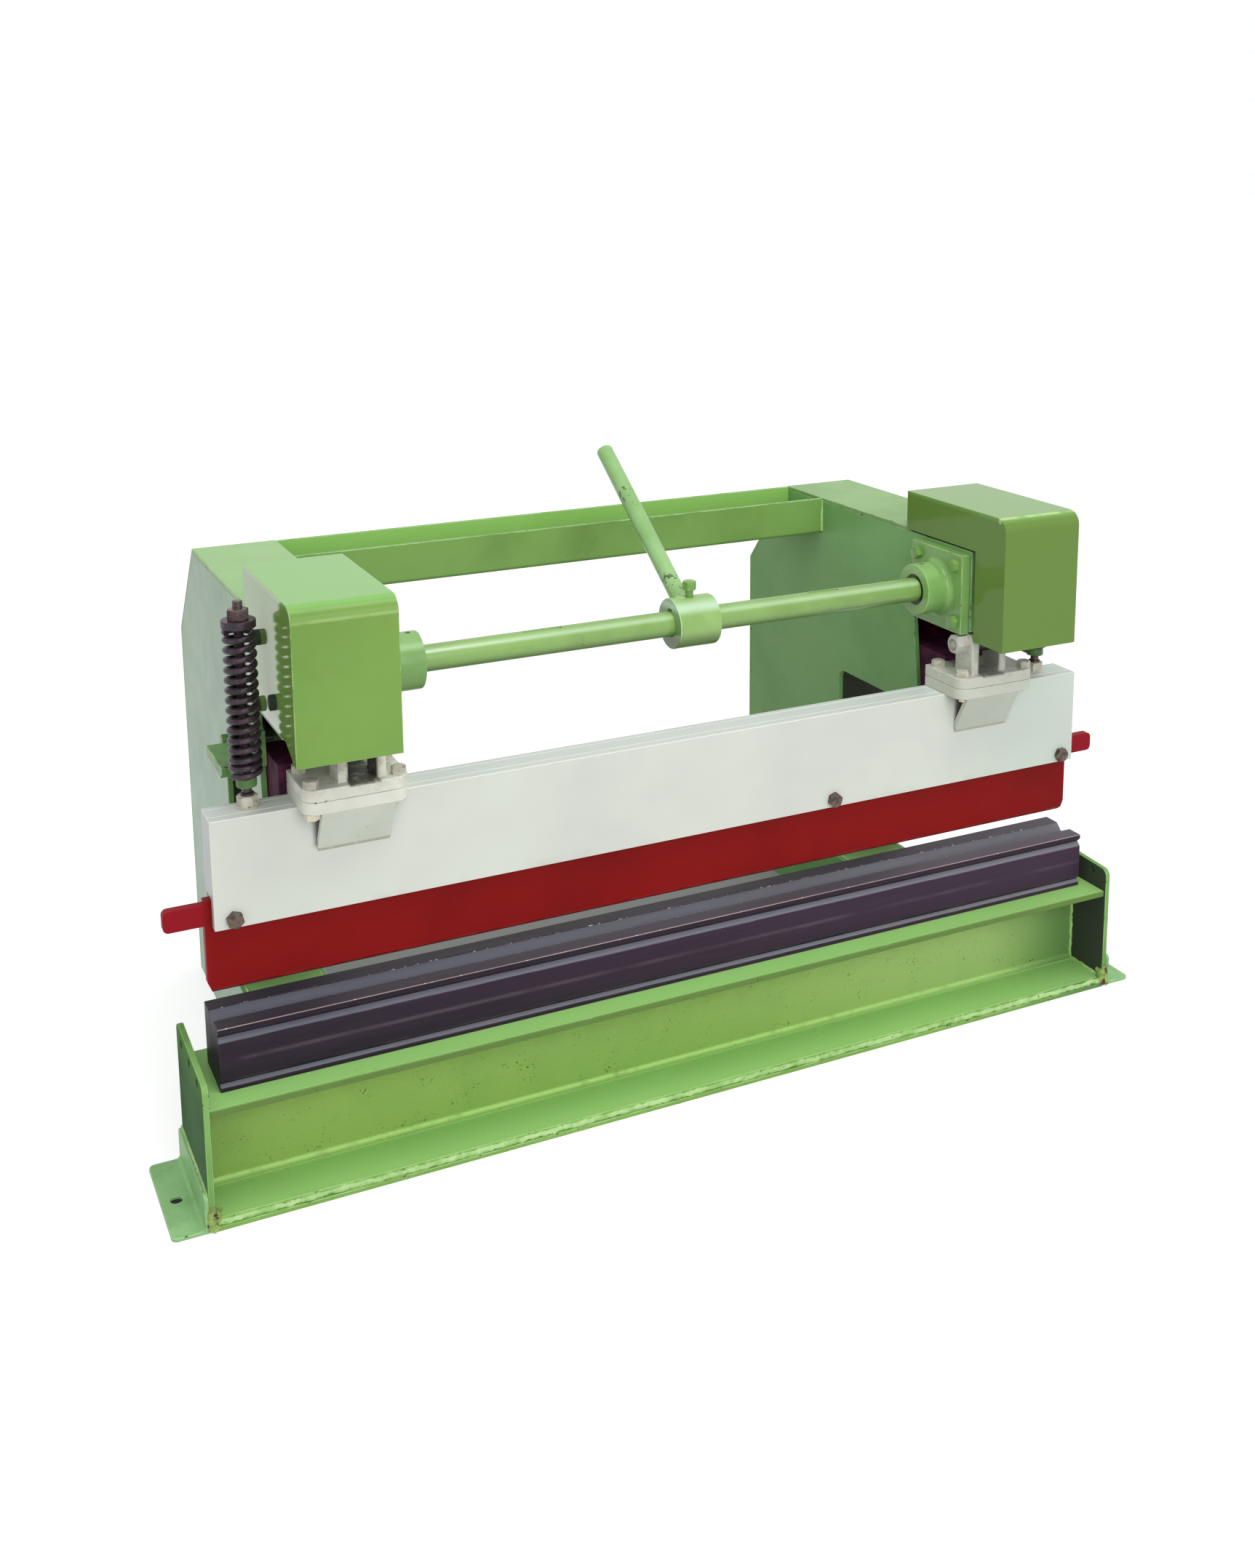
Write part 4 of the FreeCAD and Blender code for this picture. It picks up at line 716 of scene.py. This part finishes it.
# Painted light: the bosses' tops are paler.
boss_top_light = height.rise(SHAFT_HEIGHT + 0.016, SHAFT_HEIGHT + 0.030)
bearing.tint(boss_top_light * (abs(sideways) < BOSS_ROOT) * 0.4, 164, 206, 136)
bearing.relief = bearing.relief + 0.5 * bearing.noise(70, 2)
bearing.seal()
iron = bare_steel("cast_iron", (62, 54, 56), (38, 33, 36), mottle=(26, 4, 0.6, 0.35, 0.66),
                  dull=(0.42, 0.2, 50), grain=(420, 2), slot="cast_part", worn=(136, 126, 120),
                  Metallic=0.25, shine=0.35).seal(0.0002)
bronze = Finish("turned_bronze", "bronze", Metallic=1.0)
bronze.ground(bronze.noise(40, 3).rise(0.4, 0.65), (196, 150, 92), (160, 116, 66))
sideways = bronze.along("X")
# Painted shade: the sleeves' end faces are dark green, like the gap round the shaft.
right_end = (sideways > SLEEVE_RIGHT_END[0]) * (sideways < SLEEVE_RIGHT_END[1])
bronze.tint((abs(sideways) < SLEEVE_LEFT_END) + right_end, 52, 62, 44)
rings = sideways.ridges(TURNING_PITCH)
bronze.dull = 0.30 + 0.1 * rings
bronze.relief = rings
bronze.seal(0.00005)
for side in ("left", "right"):
    rounded("bearing_%s_inner" % side, 0.0014, bearing)
    rounded("bearing_%s_outer" % side, 0.0012, iron)
    dress(bronze, "bearing_bush_" + side)


# The bearings' bolts: four hexagon bolts in each inner bearing, put in before the last coat of
# green, so that they are painted over, with the bright light of gloss paint on their corners.
BEARING_BOLT_REACH = (0.046, 0.042)
BEARING_FACE = 0.426
TEN_MM_BOLT = (0.017, 0.008, 0.005)
FACE_RING, ROUNDED_RING = 0.475, 0.512
CHAMFER_RINGS = ((0.5, 0.0144), (0.5204, 0.0262), (0.5774, 0.059))
UPWARD = (0, 0, 1)


def hexagon_bolt(flats, head, shank, length, turned_both=False):
    """A hexagon head turned off to a round chamfer, standing on the origin over its shank. The
    rings of its face and chamfer are reaches and drops in widths across the flats."""
    bpy.ops.mesh.primitive_cylinder_add(vertices=6, radius=flats / math.sqrt(3), depth=head,
                                        location=(0, 0, head / 2))
    bolt = fix_place(bpy.context.object)
    pick(bolt, "EDGE", lambda middle, lie: abs(lie.z) < 0.5)
    bpy.ops.mesh.subdivide(number_cuts=3)
    for end, rim in ((1, head), (-1, 0.0)):
        pick(bolt, "FACE", lambda middle, lie: lie.z * end > 0.9)
        bpy.ops.mesh.inset(thickness=flats * 0.03)
        bpy.ops.transform.tosphere(value=1.0)
        pick(bolt, "FACE", lambda middle, lie: lie.z * end > 0.9 and middle.xy.length < flats * 0.1)
        shrink = FACE_RING / ROUNDED_RING
        bpy.ops.transform.resize(value=(shrink, shrink, 1))
        if end > 0 or turned_both:
            for reach, drop in CHAMFER_RINGS:
                pick(bolt, "VERT", lambda spot, lie: abs(spot.z - rim) < 0.0001
                     and abs(spot.xy.length - reach * flats) < 0.008 * flats)
                bpy.ops.transform.translate(value=(0, 0, -end * drop * flats))
    pick(bolt, "FACE", lambda middle, lie: lie.z < -0.9 and middle.xy.length < flats * 0.1)
    bpy.ops.mesh.inset(thickness=flats * FACE_RING - shank)
    bpy.ops.mesh.extrude_region_move(TRANSFORM_OT_translate={"value": (0, 0, -length)})
    bpy.ops.transform.resize(value=(0.86, 0.86, 1))
    bpy.ops.object.mode_set(mode="OBJECT")
    return bolt


def fasten(name, pattern, places, finish, body, *nodes):
    """Copies of a bolt at its places, each with its own direction, joined as one set."""
    copies = []
    for spot, direction, turn in places:
        copy = bpy.data.objects.new(name, pattern.data.copy())
        bpy.context.scene.collection.objects.link(copy)
        lie = Vector(direction).to_track_quat("Z", "Y").to_matrix().to_4x4()
        spin = Matrix.Rotation(math.radians(turn), 4, "Z")
        copy.matrix_world = Matrix.Translation(spot) @ lie @ spin
        copies.append(copy)
    bpy.data.objects.remove(pattern)
    only(copies[0])
    for copy in copies:
        copy.select_set(True)
    if len(copies) > 1:
        bpy.ops.object.join()
    settle(copies[0], name, finish, body, *nodes, smooth=28)


bolt_paint = enamel("painted_bolt", (126, 168, 86), (110, 148, 74), (176, 210, 142), patch=60,
                    pits=0.4, dull=0.26, shine=0.4).seal()
places = [((way * BEARING_FACE, SHAFT_BACK + back * BEARING_BOLT_REACH[0],
            SHAFT_HEIGHT + up * BEARING_BOLT_REACH[1]), (-way, 0, 0), 11 * back + 7 * up)
          for way in (-1, 1) for back in (-1, 1) for up in (-1, 1)]
fasten("bearing_bolt_set", hexagon_bolt(*TEN_MM_BOLT, 0.022), places, bolt_paint, "frame",
       "bearing_bolts")


# The hoods: boxes folded from 3 mm sheet over the eccentrics, open below and behind, with the
# front bent over at a wide radius. Three bolts go through each hood's side, the outer frame
# plate and the outer bearing.
HOOD_OUTSIDE = 0.567
HOOD_TOP = 0.772
HOOD_CREST = (-0.097, 0.7535)
HOOD_BOLT_CIRCLE = 0.054
HOOD_BOLT_ANGLES = (72, 192, 312)

hood = enamel("hood_green", (126, 166, 80), (116, 154, 72), (180, 212, 140), patch=3,
              pits=0.15, chips=0.25, dull=0.10, shine=0.14, Coat_IOR=2.0, Coat_Roughness=0.06)
sideways, front, height = (hood.along(axis) for axis in "XYZ")
right = sideways > 0
# Painted shade: the right hood is darker.
hood.tint(right, 108, 140, 66)
# Painted light: the hoods' tops are paler, the left more than the right.
hood.tint(height.rise(HOOD_TOP - 0.008, HOOD_TOP - 0.001) * (0.7 - 0.35 * right), 140, 200, 112)
# Painted highlights along the hoods' front folds, broken up.
broken_highlight = 0.3 + 0.7 * hood.noise(30, 3).rise(0.32, 0.58)
low_fold_highlight = height.near(HOOD_CREST[1], 0.0034) * (front < HOOD_CREST[0] - 0.017) * (sideways < 0)
high_fold_highlight = front.near(HOOD_CREST[0] - 0.005, 0.0055) * (height > HOOD_CREST[1] + 0.011) * right
hood.tint((0.35 * low_fold_highlight + 0.75 * high_fold_highlight) * broken_highlight, 204, 232, 160)
hood_side = abs(sideways) > HOOD_OUTSIDE - 0.0004
hood.coat = hood_side * (0.20 + 0.40 * height.rise(0.64, 0.59))
hood.relief = 0.5 * hood.noise(7, 2) + 0.05 * hood.noise(240, 1)
hood.seal(0.0006)
for side in ("left", "right"):
    rounded("hood_" + side, 0.0009, hood)
# Painted shade: the hood bolts' green paint is darkened, as if in shade.
shaded_bolt_paint = enamel("hood_bolt_dark", (46, 56, 40), (32, 38, 30), (104, 120, 92), patch=60,
                   dull=0.30).seal()
places = []
for way in (-1, 1):
    for angle in HOOD_BOLT_ANGLES:
        back, up = math.cos(math.radians(angle)), math.sin(math.radians(angle))
        places.append(((way * HOOD_OUTSIDE, SHAFT_BACK + HOOD_BOLT_CIRCLE * back,
                        SHAFT_HEIGHT + HOOD_BOLT_CIRCLE * up), (way, 0, 0), angle))
fasten("hood_bolt_set", hexagon_bolt(*TEN_MM_BOLT, 0.030), places, shaded_bolt_paint, "frame", "hood_bolts")


# The drive shaft: a 35 mm bright bar with two spare keyways, brushed with gloss green between
# the bearings. Its keys are let into the hub's and the eccentrics' seats.
SHAFT_PAINTED = (-0.372, 0.388)


def round_light(paint, under, dark, highlight_band, pale):
    """Paints shade on the underside of a piece on the shaft's line, and a pale painted highlight
    band near its top. Each comes with two distances that shape its mask, and its strength."""
    above_axis = paint.along("Z") - SHAFT_HEIGHT
    paint.tint(above_axis.rise(under[0], under[1]) * under[2], *dark)
    paint.tint(above_axis.near(highlight_band[0], highlight_band[1]) * highlight_band[2], *pale)


shaft = enamel("shaft_green", (136, 176, 94), (122, 160, 82), (196, 224, 170), patch=8,
               pits=0.3, chips=0.4, dull=0.20, shine=0.55)
# Painted shade on the shaft's underside, and a painted highlight along its top.
round_light(shaft, (-0.002, -0.012, 0.65), (88, 120, 60), (0.0125, 0.005, 0.45), (206, 236, 196))
sideways = shaft.along("X")
shaft.tint((sideways < SHAFT_PAINTED[0]) + (sideways > SHAFT_PAINTED[1]), 120, 116, 118)
shaft.seal()
rounded("drive_shaft", 0.0007, shaft)
black_oil = bare_steel("oiled_steel", (60, 51, 54), (36, 30, 34), mottle=(50, 3, 0.6, 0.38, 0.64),
                       dull=(0.34, 0.24, 70), grain=(300, 2), worn=(126, 112, 110),
                       Metallic=0.35, shine=0.4).seal(0.0002)
dress(black_oil, "shaft_keys")


# The eccentrics and links: keyed iron discs, each running in the round strap of a forged link
# whose eye hangs on the ram's pin. Turned and oiled, and never painted.
for side in ("left", "right"):
    rounded("eccentric_" + side, 0.0010, iron)
    rounded("link_" + side, 0.0012, iron)


# The hub and the hand lever: a thick turned sleeve keyed to the shaft, with the round lever
# welded on at a slant and a set screw in front of it. All gloss green, the lever worn by hands.
HUB_RADIUS = 0.035
HUB_LEFT_END = -0.0125
LEVER_PLACE = 0.020
LEVER_SLOPE = math.radians(34.5)
LEVER_RADIUS = 0.0123
WORN_HEIGHTS = (0.79, 0.69)
SCREW_PLACE = 0.017

hub = enamel("hub_green", (148, 188, 108), (132, 172, 92), (206, 232, 168), patch=9,
             pits=0.3, chips=0.3, dull=0.20, shine=0.5)
hub.tint((hub.along("X") < HUB_LEFT_END) * 0.5, 96, 136, 100)
# Painted shade on the hub's underside, and a painted highlight near its top.
round_light(hub, (-0.004, -0.022, 0.8), (84, 110, 50), (0.026, 0.010, 0.6), (208, 238, 214))
hub.seal()
rounded("handle_hub", 0.0014, hub)
lever = enamel("lever_green", (152, 196, 128), (136, 182, 112), (196, 224, 172), patch=12,
               pits=0.45, chips=0.8, dull=0.27, shine=0.4)
upper, lower = (lever.along("Z").near(height, 0.02) for height in WORN_HEIGHTS)
speck = lever.noise(150, 2).rise(0.60, 0.64) * (upper + lower).rise(0.1, 0.8)
lever.tint(speck * 0.8, 52, 50, 44)
lever.seal()
rounded("handle_bar", 0.0016, lever)


def weld_ring(name, place, direction, ring_radius, bead_radius, finish, body):
    """Weld metal laid round the root of a bar."""
    bpy.ops.mesh.primitive_torus_add(major_segments=72, minor_segments=10, major_radius=ring_radius,
                                     minor_radius=bead_radius, location=place,
                                     rotation=Vector(direction).to_track_quat("Z", "Y").to_euler())
    ring = fix_place(bpy.context.object)
    heave(ring, bead_radius * 1.6, 0.5)
    settle(ring, name, finish, body, smooth=80)


lever_way = Vector((0, math.cos(LEVER_SLOPE), math.sin(LEVER_SLOPE)))
lever_root = Vector((LEVER_PLACE, SHAFT_BACK, SHAFT_HEIGHT)) + lever_way * (HUB_RADIUS - 0.001)
weld_ring("lever_weld", lever_root, lever_way, LEVER_RADIUS + 0.001, 0.0032, bead_paint, "shaft")
screw_seat = (SCREW_PLACE, SHAFT_BACK, SHAFT_HEIGHT + 0.045)
fasten("hub_screw_set", hexagon_bolt(0.017, 0.012, 0.0062, 0.013), [(screw_seat, UPWARD, 20)],
       bolt_paint, "shaft", "hub_screw")


# The ram: a long box of steel plate, welded at its corners and ground flush, which carries the
# blade between its front and back plates. Cream enamel, dirtied where hands and sheets touch.
RAM_TOP, RAM_FRONT = 0.496, -0.020
RAM_LEFT_END = -0.6521
PLATE_FOOT = (0.372, 0.357)
CLEVIS_PLACE = 0.479
GUSSET_FOOT = 0.437

cream = enamel("ram_cream", (221, 226, 216), (211, 213, 206), (236, 238, 232), slot="cream_paint",
               patch=2.2, pits=0.05, chips=0.12, dull=0.40, shine=0.2)
sideways, across, height = (cream.along(axis) for axis in "XYZ")
rubbed = cream.noise(4.5, 5, 0.7, stretch=(1, 1, 2.2)).rise(0.62, 0.78)
cream.tint(rubbed * 0.22, 198, 190, 160)
dirty_foot = height.rise(*PLATE_FOOT) * cream.noise(26, 4, 0.6).rise(0.50, 0.66)
cream.tint(dirty_foot * 0.12, 150, 150, 142)
# Painted shade: the ram's top is a little darker and cooler, its left end darker and bluer, and its
# right part greener and darker.
cream.tint((height > RAM_TOP - 0.0005) * 0.7, 216, 224, 220)
cream.tint((sideways < RAM_LEFT_END) * 0.75, 188, 193, 196)
cream.tint(sideways.rise(0.35, 0.65) * 0.5, 196, 216, 204)
# Painted shadow on the ram's front under the gussets.
front_top = height.rise(GUSSET_FOOT - 0.001, GUSSET_FOOT + 0.009) * (height < RAM_TOP - 0.002)
front_top = front_top * (across < RAM_FRONT + 0.0005)
gusset_shadow = front_top * abs(abs(sideways) - CLEVIS_PLACE).rise(0.052, 0.042)
cream.tint(gusset_shadow * 0.85, 84, 72, 74)
# Paler along the edges: worn paint, and a painted highlight.
cream.tint(cream.mark("edge") * 0.6, 246, 243, 230)
cream.seal()
for node in ("ram_front_plate", "ram_back_plate", "ram_top_plate", "ram_end_plates"):
    rounded(node, 0.0009, cream)
dress(black_oil, "backing_bar", "packing_bar")


# The blade: a bar of tool steel ground to a long bevel, with a square ear at each end for
# lifting it out. It is dipped in red lacquer, which the bending edge has lost.
BLADE_MIDDLE, EARS = -0.005, (0.650, 0.662)
BENDING_EDGE = (0.2745, 0.2715)

blade = enamel("blade_red", (136, 14, 14), (124, 10, 12), (176, 62, 56), slot="red_paint",
               patch=5, pits=0.05, chips=0.3, dull=0.50, shine=0.12)
ears = abs(blade.along("X") - BLADE_MIDDLE).rise(*EARS)
blade.tint(ears * 0.6, 158, 22, 42)
tip = blade.along("Z").rise(*BENDING_EDGE) * blade.noise(60, 3).rise(0.35, 0.6)
blade.tint(tip * 0.8, 90, 78, 80)
blade.seal(0.0003)
rounded("punch_blade", 0.0006, blade)


# The clamp bolts: three browned hexagon bolts through the ram's plates and the blade, whose
# corners are polished by the spanner.
CLAMP_HEIGHT = 0.368
CLAMP_BOLTS = ((-0.628, 12), (0.224, 47), (0.630, 30))

clamp_black = bare_steel("clamp_black", (106, 88, 76), (60, 48, 45),
                         mottle=(90, 3, 0.6, 0.40, 0.62), dull=(0.36, 0.3, 120), grain=(420, 2),
                         Metallic=0.3).seal(0.0002)
places = [((place, RAM_FRONT, CLAMP_HEIGHT), (0, -1, 0), turn) for place, turn in CLAMP_BOLTS]
fasten("clamp_bolt_set", hexagon_bolt(0.019, 0.008, 0.006, 0.050), places, clamp_black, "ram",
       "clamp_bolts")


# The ram's guides: blocks of hard-wearing steel screwed to its back, greased, which slide up and
# down between the two plates of each side frame.
grease = bare_steel("greased_guide", (96, 46, 74), (66, 36, 54), mottle=(30, 4, 0.6, 0.36, 0.64),
                    dull=(0.60, 0.2, 50), grain=(300, 2), shine=0.05).seal(0.0002)
rounded("ram_guides", 0.0015, grease)


# The clevises: on each link's foot an upper plate with two lugs and the pin's boss, bolted to a
# lower plate whose gusset slopes down the ram's front. Cream like the ram, with oily lug roots.
LINK_PLACE = 0.470
CLEVIS_TOP, CLEVIS_SEAM, CLEVIS_FOOT = 0.528, 0.512, RAM_TOP
CLEVIS_BOLT_SIDE = 0.055
CLEVIS_BOLT_FRONT, CLEVIS_BOLT_BACK = -0.045, 0.014

clevis = enamel("clevis_cream", (230, 232, 220), (218, 220, 206), (238, 240, 232),
                slot="cream_paint", patch=18, pits=0.3, chips=0.3, dull=0.36)
sideways, height = clevis.along("X"), clevis.along("Z")
grime = height.rise(0.505, 0.545) * clevis.noise(46, 4, 0.7).rise(0.46, 0.62)
clevis.tint(grime * 0.5, 150, 136, 96)
clevis.tint(height.near(CLEVIS_SEAM, 0.0009) * 0.35, 110, 100, 84)
# Painted shade on the gussets below the ram's top.
clevis.tint(height.rise(CLEVIS_FOOT, CLEVIS_FOOT - 0.010) * 0.5, 200, 210, 198)
# Along the gussets' foot: the weld seam, with painted shade.
gusset_seam_and_shade = height.near(GUSSET_FOOT, 0.0045) * clevis.noise(50, 3).rise(0.2, 0.5)
clevis.tint(gusset_seam_and_shade * 0.6, 150, 140, 118)
between_lugs = abs(abs(sideways) - LINK_PLACE).rise(0.0215, 0.0175)
between_lugs = between_lugs * height.rise(CLEVIS_TOP - 0.004, CLEVIS_TOP - 0.001)
clevis.tint(between_lugs * clevis.noise(60, 3, 0.6).rise(0.22, 0.5) * 0.85, 58, 48, 40)
# Painted shade: the right clevis is darker.
clevis.tint((sideways > 0) * 0.5, 184, 188, 176)
clevis.seal()
for side in ("left", "right"):
    rounded("clevis_base_" + side, 0.0014, clevis)
    rounded("clevis_" + side, 0.0014, clevis)

cream_bolt = enamel("cream_bolt", (206, 204, 190), (184, 180, 162), (240, 240, 230),
                    slot="cream_paint", patch=70, pits=0.9, dull=0.34)
cream_bolt.tint(cream_bolt.noise(110, 3, 0.7).rise(0.60, 0.66) * 0.7, 120, 96, 70)
height = cream_bolt.along("Z")
# Painted light on the bolts' tips and the nut below the clevis plates, which lie in the plates'
# shadow.
cream_bolt.tint((height < CLEVIS_FOOT) * (height > CLEVIS_FOOT - 0.03) * 0.7, 240, 228, 200)
cream_bolt.seal()
places = [((way * CLEVIS_PLACE + aside * CLEVIS_BOLT_SIDE, forward, CLEVIS_TOP), UPWARD,
           17 * aside + 400 * forward)
          for way in (-1, 1) for aside in (-1, 1)
          for forward in (CLEVIS_BOLT_FRONT, CLEVIS_BOLT_BACK)]
fasten("clevis_bolt_set", hexagon_bolt(0.017, 0.0100, 0.005, 0.037), places, cream_bolt, "ram",
       "clevis_bolts")
nut_seat = (-CLEVIS_PLACE - CLEVIS_BOLT_SIDE, CLEVIS_BOLT_FRONT, CLEVIS_FOOT - 0.008)
fasten("clevis_nut", hexagon_bolt(0.017, 0.008, 0.0045, 0.0), [(nut_seat, UPWARD, 10)], cream_bolt,
       "ram")


# The link pins: shouldered bolts through each clevis's lugs and the link's eye, with a large
# hexagon head, a round recess in its face, pushed in from the middle of the press.
PIN_AXIS = (-0.026, 0.572)
PIN_HEAD_SEAT = 0.4395
RECESS_RADIUS = 0.0078
AREA_SCALE = 10000

pin_cream = enamel("pin_cream", (196, 196, 186), (172, 172, 160), (232, 232, 224),
                   slot="cream_paint", patch=40, pits=0.4, chips=0.3, dull=0.32)
beside, above = pin_cream.along("Y") - PIN_AXIS[0], pin_cream.along("Z") - PIN_AXIS[1]
from_axis = (beside * beside + above * above) * AREA_SCALE
# Painted shade: a dark ring in the recess round each pin's face.
pin_cream.tint(from_axis.near(RECESS_RADIUS ** 2 * AREA_SCALE, 0.24) * 0.7, 84, 80, 70)
pin_cream.tint(pin_cream.mark("edge") * 0.2, 120, 112, 96)
pin_cream.seal()


def pin_bolt():
    """A hexagon-headed pin with a dished face."""
    pin = hexagon_bolt(0.025, 0.020, 0.008, 0.061)
    pick(pin, "FACE", lambda middle, lie: lie.z > 0.9 and middle.xy.length < 0.003)
    bpy.ops.mesh.inset(thickness=0.0045)
    bpy.ops.mesh.extrude_region_move(TRANSFORM_OT_translate={"value": (0, 0, -0.0022)})
    bpy.ops.transform.resize(value=(0.9, 0.9, 1))
    bpy.ops.mesh.inset(thickness=0.0016)
    bpy.ops.transform.translate(value=(0, 0, 0.0012))
    bpy.ops.object.mode_set(mode="OBJECT")
    return pin


places = [((way * PIN_HEAD_SEAT, *PIN_AXIS), (-way, 0, 0), 30) for way in (-1, 1)]
fasten("link_pin_set", pin_bolt(), places, pin_cream, "ram", "link_pins")


# The spring brackets: pieces of angle iron bolted to the outer frame plates, each with a tongue
# that carries a welded collar, on which the return spring stands.
BRACKET_OUTSIDE = 0.572
BRACKET_BOLTS = ((0.0745, 0.557), (0.1195, 0.557))
TONGUE_START = 0.584
COLLAR_TOP, COLLAR_HEIGHT, COLLAR_BACK = 0.535, 0.0115, 0.030

bracket = enamel("bracket_green", (124, 172, 102), (94, 132, 76), (186, 212, 168), patch=16,
                 pits=0.7, chips=0.9)
sideways, across, height = (bracket.along(axis) for axis in "XYZ")
collar = (abs(sideways) > TONGUE_START) * (height > COLLAR_TOP - COLLAR_HEIGHT)
bracket.tint(collar * (across < COLLAR_BACK) * 0.6, 52, 72, 48)
bracket.seal()
for side in ("left", "right"):
    rounded("spring_bracket_" + side, 0.0012, bracket)
places = [((way * BRACKET_OUTSIDE, *spot), (way, 0, 0), 90 + 9 * way)
          for way in (-1, 1) for spot in BRACKET_BOLTS]
fasten("bracket_bolt_set", hexagon_bolt(*TEN_MM_BOLT, 0.022), places, black_oil, "frame",
       "bracket_bolts")


# The return springs: coils of 9 mm wire wound hot, with closed turns at their ends, blackened in
# oil. They stand on the collars and push the ram up by the washer and nut on each rod. The wire
# is drawn a little thin, so that the open turns part as they do in the photograph.
ROD_PLACE = (0.599, 0.010)
COIL_RADIUS = 0.0166
WIRE_RADIUS = 0.0041
SPRING_LENGTH = 0.188
CLOSED_PITCH = 0.0096
LOW_TURNS, OPEN_TURNS, HIGH_TURNS = 2, 12, 1
CLOSED_LENGTH = 2 * WIRE_RADIUS + (LOW_TURNS + HIGH_TURNS) * CLOSED_PITCH
OPEN_PITCH = (SPRING_LENGTH - CLOSED_LENGTH) / OPEN_TURNS


def on_rod(way, height):
    """A place on the left or right spring rod's line."""
    return (way * ROD_PLACE[0], ROD_PLACE[1], height)


def wound_turns(turns, pitch, start):
    """Turns of wire wound from a start height, all of one pitch."""
    bpy.ops.mesh.primitive_circle_add(vertices=14, radius=WIRE_RADIUS, rotation=(math.pi / 2, 0, 0),
                                      location=(COIL_RADIUS, 0, start))
    wire = fix_place(bpy.context.object)
    winding = wire.modifiers.new("winding", "SCREW")
    winding.angle, winding.screw_offset = 2 * math.pi * turns, turns * pitch
    winding.steps = winding.render_steps = 30 * turns
    bpy.ops.object.modifier_apply(modifier="winding")
    return wire


def return_spring():
    """The closed, open and closed turns, joined as one wire with its ends closed."""
    start = COLLAR_TOP + WIRE_RADIUS
    parts = []
    for turns, pitch in ((LOW_TURNS, CLOSED_PITCH), (OPEN_TURNS, OPEN_PITCH),
                         (HIGH_TURNS, CLOSED_PITCH)):
        parts.append(wound_turns(turns, pitch, start))
        start += turns * pitch
    only(parts[0])
    for part in parts:
        part.select_set(True)
    bpy.ops.object.join()
    spring = bpy.context.object
    bpy.ops.object.mode_set(mode="EDIT")
    bpy.ops.mesh.select_all(action="SELECT")
    bpy.ops.mesh.remove_doubles(threshold=0.0001)
    bpy.ops.mesh.select_all(action="SELECT")
    bpy.ops.mesh.fill_holes(sides=0)
    bpy.ops.mesh.select_all(action="SELECT")
    bpy.ops.mesh.normals_make_consistent(inside=False)
    bpy.ops.object.mode_set(mode="OBJECT")
    return spring


coil = bare_steel("spring_black", (66, 50, 62), (40, 32, 40), mottle=(70, 4, 0.65, 0.42, 0.64),
                  dull=(0.36, 0.2, 60), grain=(240, 3, 0.6), Metallic=0.25, shine=0.4)
# Painted glints: flecks paler than the black.
coil.tint(coil.noise(150, 3, 0.7).rise(0.62, 0.70) * 0.5, 112, 90, 84)
coil.seal(0.0003)
for side, way in SIDES:
    spring = return_spring()
    spring.location = on_rod(way, 0)
    spring.rotation_euler = (0, 0, math.radians(200))
    settle(spring, "wound_spring_" + side, coil, "frame", "return_spring_" + side, smooth=60)
    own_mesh(spring)


# The spring rods: 12 mm bar threaded at the top, screwed into hexagon feet that are welded to
# the ram's top, and topped by a thick washer and a nut. The rods and nuts are left black.
THREAD_PITCH, THREAD_START = 0.00175, 0.7
ROD_NUT_SEAT = 0.733
ROD_FOOT, ROD_FOOT_HEIGHT = RAM_TOP, 0.016


def washer(radius, bore, thick):
    """A stamped washer standing on the origin."""
    bpy.ops.mesh.primitive_cylinder_add(vertices=36, radius=radius, depth=thick,
                                        location=(0, 0, thick / 2))
    ring = fix_place(bpy.context.object)
    pick(ring, "EDGE", lambda middle, lie: abs(lie.z) < 0.5 and middle.z > thick / 2)
    bpy.ops.mesh.bevel(offset=thick * 0.35, segments=2)
    pick(ring, "FACE", lambda middle, lie: lie.z > 0.9)
    bpy.ops.mesh.inset(thickness=radius - bore)
    bpy.ops.mesh.extrude_region_move(TRANSFORM_OT_translate={"value": (0, 0, -thick * 0.6)})
    bpy.ops.object.mode_set(mode="OBJECT")
    return ring


threaded = bare_steel("threaded_black", (84, 68, 64), (44, 36, 38),
                      mottle=(110, 3, 0.6, 0.40, 0.62), dull=(0.36, 0.2, 90), grain=(300, 2),
                      Metallic=0.35)
height = threaded.along("Z")
thread = height.ridges(THREAD_PITCH) * (height > THREAD_START)
threaded.tint(thread * 0.4, 150, 128, 128)
threaded.relief = thread + 0.1 * threaded.relief
threaded.seal(0.0007)
rounded("spring_rods", 0.0008, threaded)
rounded("spring_washers", 0.0012, coil)
fasten("rod_nut_set", hexagon_bolt(0.024, 0.013, 0.0064, 0.0, turned_both=True),
       [(on_rod(way, ROD_NUT_SEAT), UPWARD, 18 * way) for way in (-1, 1)], threaded, "ram",
       "rod_nuts")
fasten("stop_ring_set", washer(0.0085, 0.0061, 0.003),
       [(on_rod(way, ROD_FOOT + ROD_FOOT_HEIGHT), UPWARD, 0) for way in (-1, 1)], threaded, "ram")
fasten("rod_foot_set", hexagon_bolt(0.023, ROD_FOOT_HEIGHT, 0.006, 0.0, turned_both=True),
       [(on_rod(way, ROD_FOOT), UPWARD, 15) for way in (-1, 1)], cream_bolt, "ram", "rod_feet")
for side, way in SIDES:
    weld_ring("rod_foot_weld_" + side, on_rod(way, ROD_FOOT + 0.001), UPWARD, 0.0122, 0.0018,
              cream_bolt, "ram")
